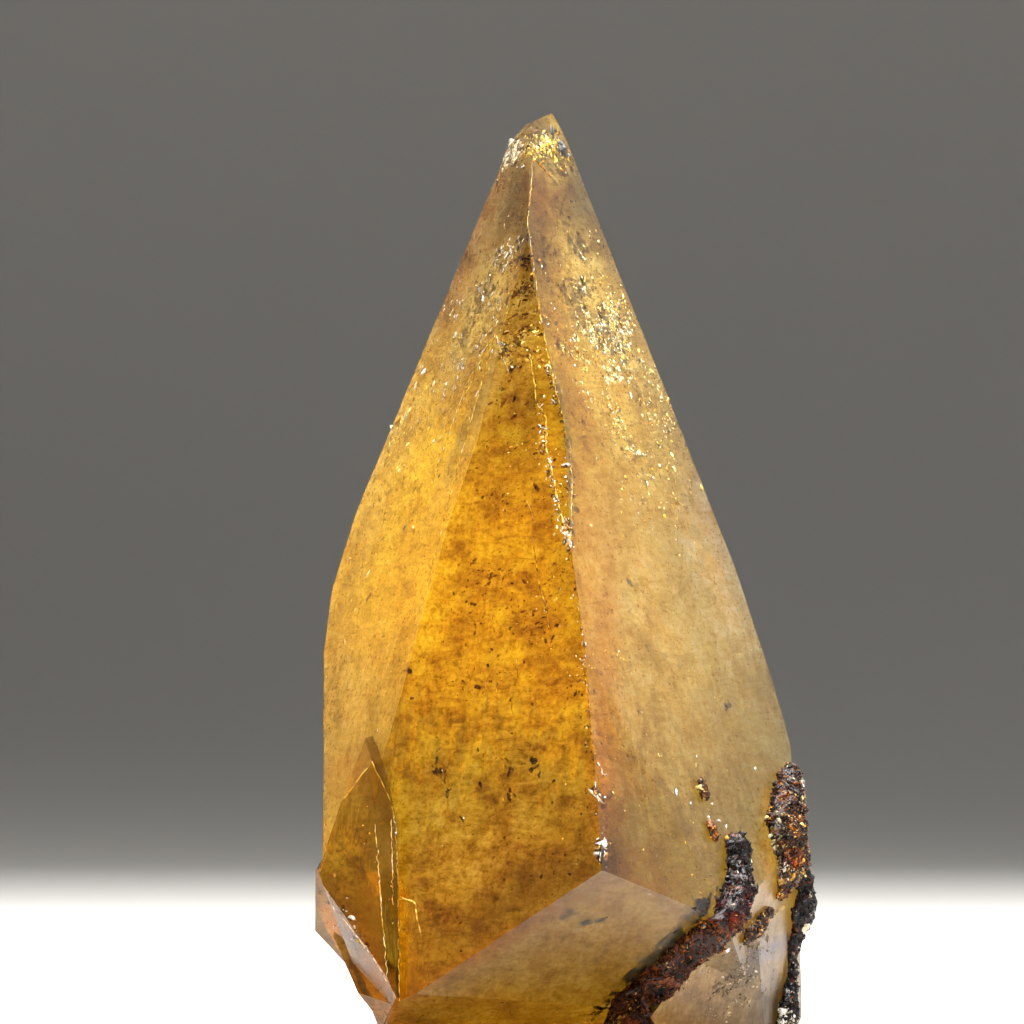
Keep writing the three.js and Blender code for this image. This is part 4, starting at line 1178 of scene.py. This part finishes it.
class CRYSTAL_OT_sphalerite(bpy.types.Operator):
    """Builds the sphalerite: each crust is its lump with many small glinting crystals grown on it"""
    bl_idname = "crystal.sphalerite"
    bl_label = "Sphalerite"

    def execute(self, context):
        s = context.scene.sphalerite
        rng = np.random.default_rng(31)
        # Sphalerite, grown as crusts of small crystals: dark brown to black with a half-metallic
        # gloss, so single faces glint.
        finish = grain_material("sphalerite_crust", scale=0.7, roughness=s.roughness, specular=0.22)
        for name, (count, scale, stretch, slot, zones) in CRUSTS.items():
            points, triangles = lump_surface(name)
            seat, grown = small_crystals(points, triangles, count, s.size / MM * scale, stretch, rng)
            tones = crust_tones(points, triangles, seat, zones, rng)
            points, triangles = merged([(points, triangles), grown])
            piece = toned_piece("sphalerite_%s_visual" % name, points, triangles, tones, finish)
            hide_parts("sphalerite_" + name)
        return {"FINISHED"}


# Softboxes: name, degrees round from the front, height in degrees, distance, width and height in
# metres, power in watts, and spread in degrees.
LIGHTS = [
    ("left softbox", -120, 17, 0.7, 0.5, 0.7, 0.15, 180),
    ("right softbox", 110, 21, 0.7, 0.5, 0.7, 0.8, 180),
    ("overhead softbox", 165, 62, 0.9, 0.8, 0.6, 4.7, 80),
    ("front left softbox", -45, 62, 0.9, 0.5, 0.5, 2.0, 60),
    ("front right softbox", 78, 64, 0.9, 0.5, 0.5, 2.0, 60),
]
# The point that the lights look at, the camera's place in metres, its lens and its sensor's width.
LIGHT_AIM = (0, 0, 0.06)
CAMERA_PLACE = (-0.0072, -1.47889, 0.068)
LENS_MM, SENSOR_MM = 400, 36


class CRYSTAL_OT_stage(bpy.types.Operator):
    """Builds the floor, the lights and the camera"""
    bl_idname = "crystal.stage"
    bl_label = "Stage"

    def execute(self, context):
        scene = context.scene
        s = scene.stage
        # The floor is a level profile that curves up into a wall, carried across. In metres: where
        # its level part begins and ends, the curve's radius, the wall's height and half the width.
        begin, end, radius, height, side = -2.0, 0.7, 0.5, 2.5, 2.5
        bend = np.linspace(0, math.pi / 2, 60)[1:]
        level, wall = np.linspace(begin, end, 20), np.linspace(radius + 0.1, height, 10)
        y = np.concatenate([level, end + radius * np.sin(bend), np.full(10, end + radius)])
        z = np.concatenate([np.zeros(20), radius - radius * np.cos(bend), wall])
        x = np.linspace(-side, side, 24)
        n = len(x)
        points = np.stack([np.tile(x, len(y)), np.repeat(y, n), np.repeat(z, n)], 1)
        i = (np.arange(len(y) - 1)[:, None] * n + np.arange(n - 1)).ravel()
        j = i + n
        triangles = np.vstack([np.stack([i, i + 1, j + 1], 1), np.stack([i, j + 1, j], 1)])
        floor = new_mesh("floor", points, triangles)
        floor.data.shade_smooth()
        # Matt background paper: pale, with no gloss.
        material, tree, output = new_material("pale_paper")
        shader = add(tree, "BsdfPrincipled", {"Base Color": (*s.floor, 1.0), "Roughness": 0.8})
        tree.links.new(shader, output.inputs["Surface"])
        floor.data.materials.append(material)
        for name, azimuth, elevation, distance, width, height, power, spread in LIGHTS:
            light = bpy.data.lights.new(name, "AREA")
            light.shape, light.size, light.size_y = "RECTANGLE", width, height
            light.energy, light.spread = power * s.power, math.radians(spread)
            box = bpy.data.objects.new(name, light)
            scene.collection.objects.link(box)
            way = outward(azimuth, elevation)
            box.location = np.array(LIGHT_AIM) + way * distance
            box.rotation_euler = Vector(way).to_track_quat("Z", "Y").to_euler()
        world = bpy.data.worlds.new("room")
        world.use_nodes = True
        world.node_tree.nodes["Background"].inputs["Color"].default_value = (s.room, s.room, s.room, 1)
        scene.world = world
        scene.view_settings.view_transform = "Standard"
        lens = bpy.data.cameras.new("camera")
        lens.lens, lens.sensor_width, lens.clip_end = LENS_MM, SENSOR_MM, 20
        camera = bpy.data.objects.new("camera", lens)
        scene.collection.objects.link(camera)
        camera.location = CAMERA_PLACE
        camera.rotation_euler = (math.pi / 2, 0, 0)
        scene.camera = camera
        return {"FINISHED"}


class CRYSTAL_PT_panel(bpy.types.Panel):
    """Lists the settings and the pieces"""
    bl_idname = "CRYSTAL_PT_panel"
    bl_label = "Golden calcite"
    bl_space_type = "VIEW_3D"
    bl_region_type = "UI"
    bl_category = "Crystal"

    def draw(self, context):
        for name, kind in SETTINGS.items():
            box = self.layout.box()
            for key in kind.__annotations__:
                box.prop(getattr(context.scene, name), key)
        for name in PIECES:
            self.layout.operator("crystal." + name)


SETTINGS = {"stage": StageSettings, "calcite": CalciteSettings, "grains": GrainSettings,
            "sphalerite": SphaleriteSettings}
PIECES = ("stage", "calcite", "flecks", "splinters", "bruises", "sphalerite")
CLASSES = (*SETTINGS.values(), CRYSTAL_OT_stage, CRYSTAL_OT_calcite, CRYSTAL_OT_flecks,
           CRYSTAL_OT_splinters, CRYSTAL_OT_bruises, CRYSTAL_OT_sphalerite, CRYSTAL_PT_panel)


def register():
    for c in CLASSES:
        bpy.utils.register_class(c)
    for name, kind in SETTINGS.items():
        setattr(bpy.types.Scene, name, PointerProperty(type=kind))


def unregister():
    for name in SETTINGS:
        delattr(bpy.types.Scene, name)
    for c in reversed(CLASSES):
        bpy.utils.unregister_class(c)


def main():
    register()
    for name in PIECES:
        getattr(bpy.ops.crystal, name)()
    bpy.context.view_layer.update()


if __name__ == "__main__":
    main()
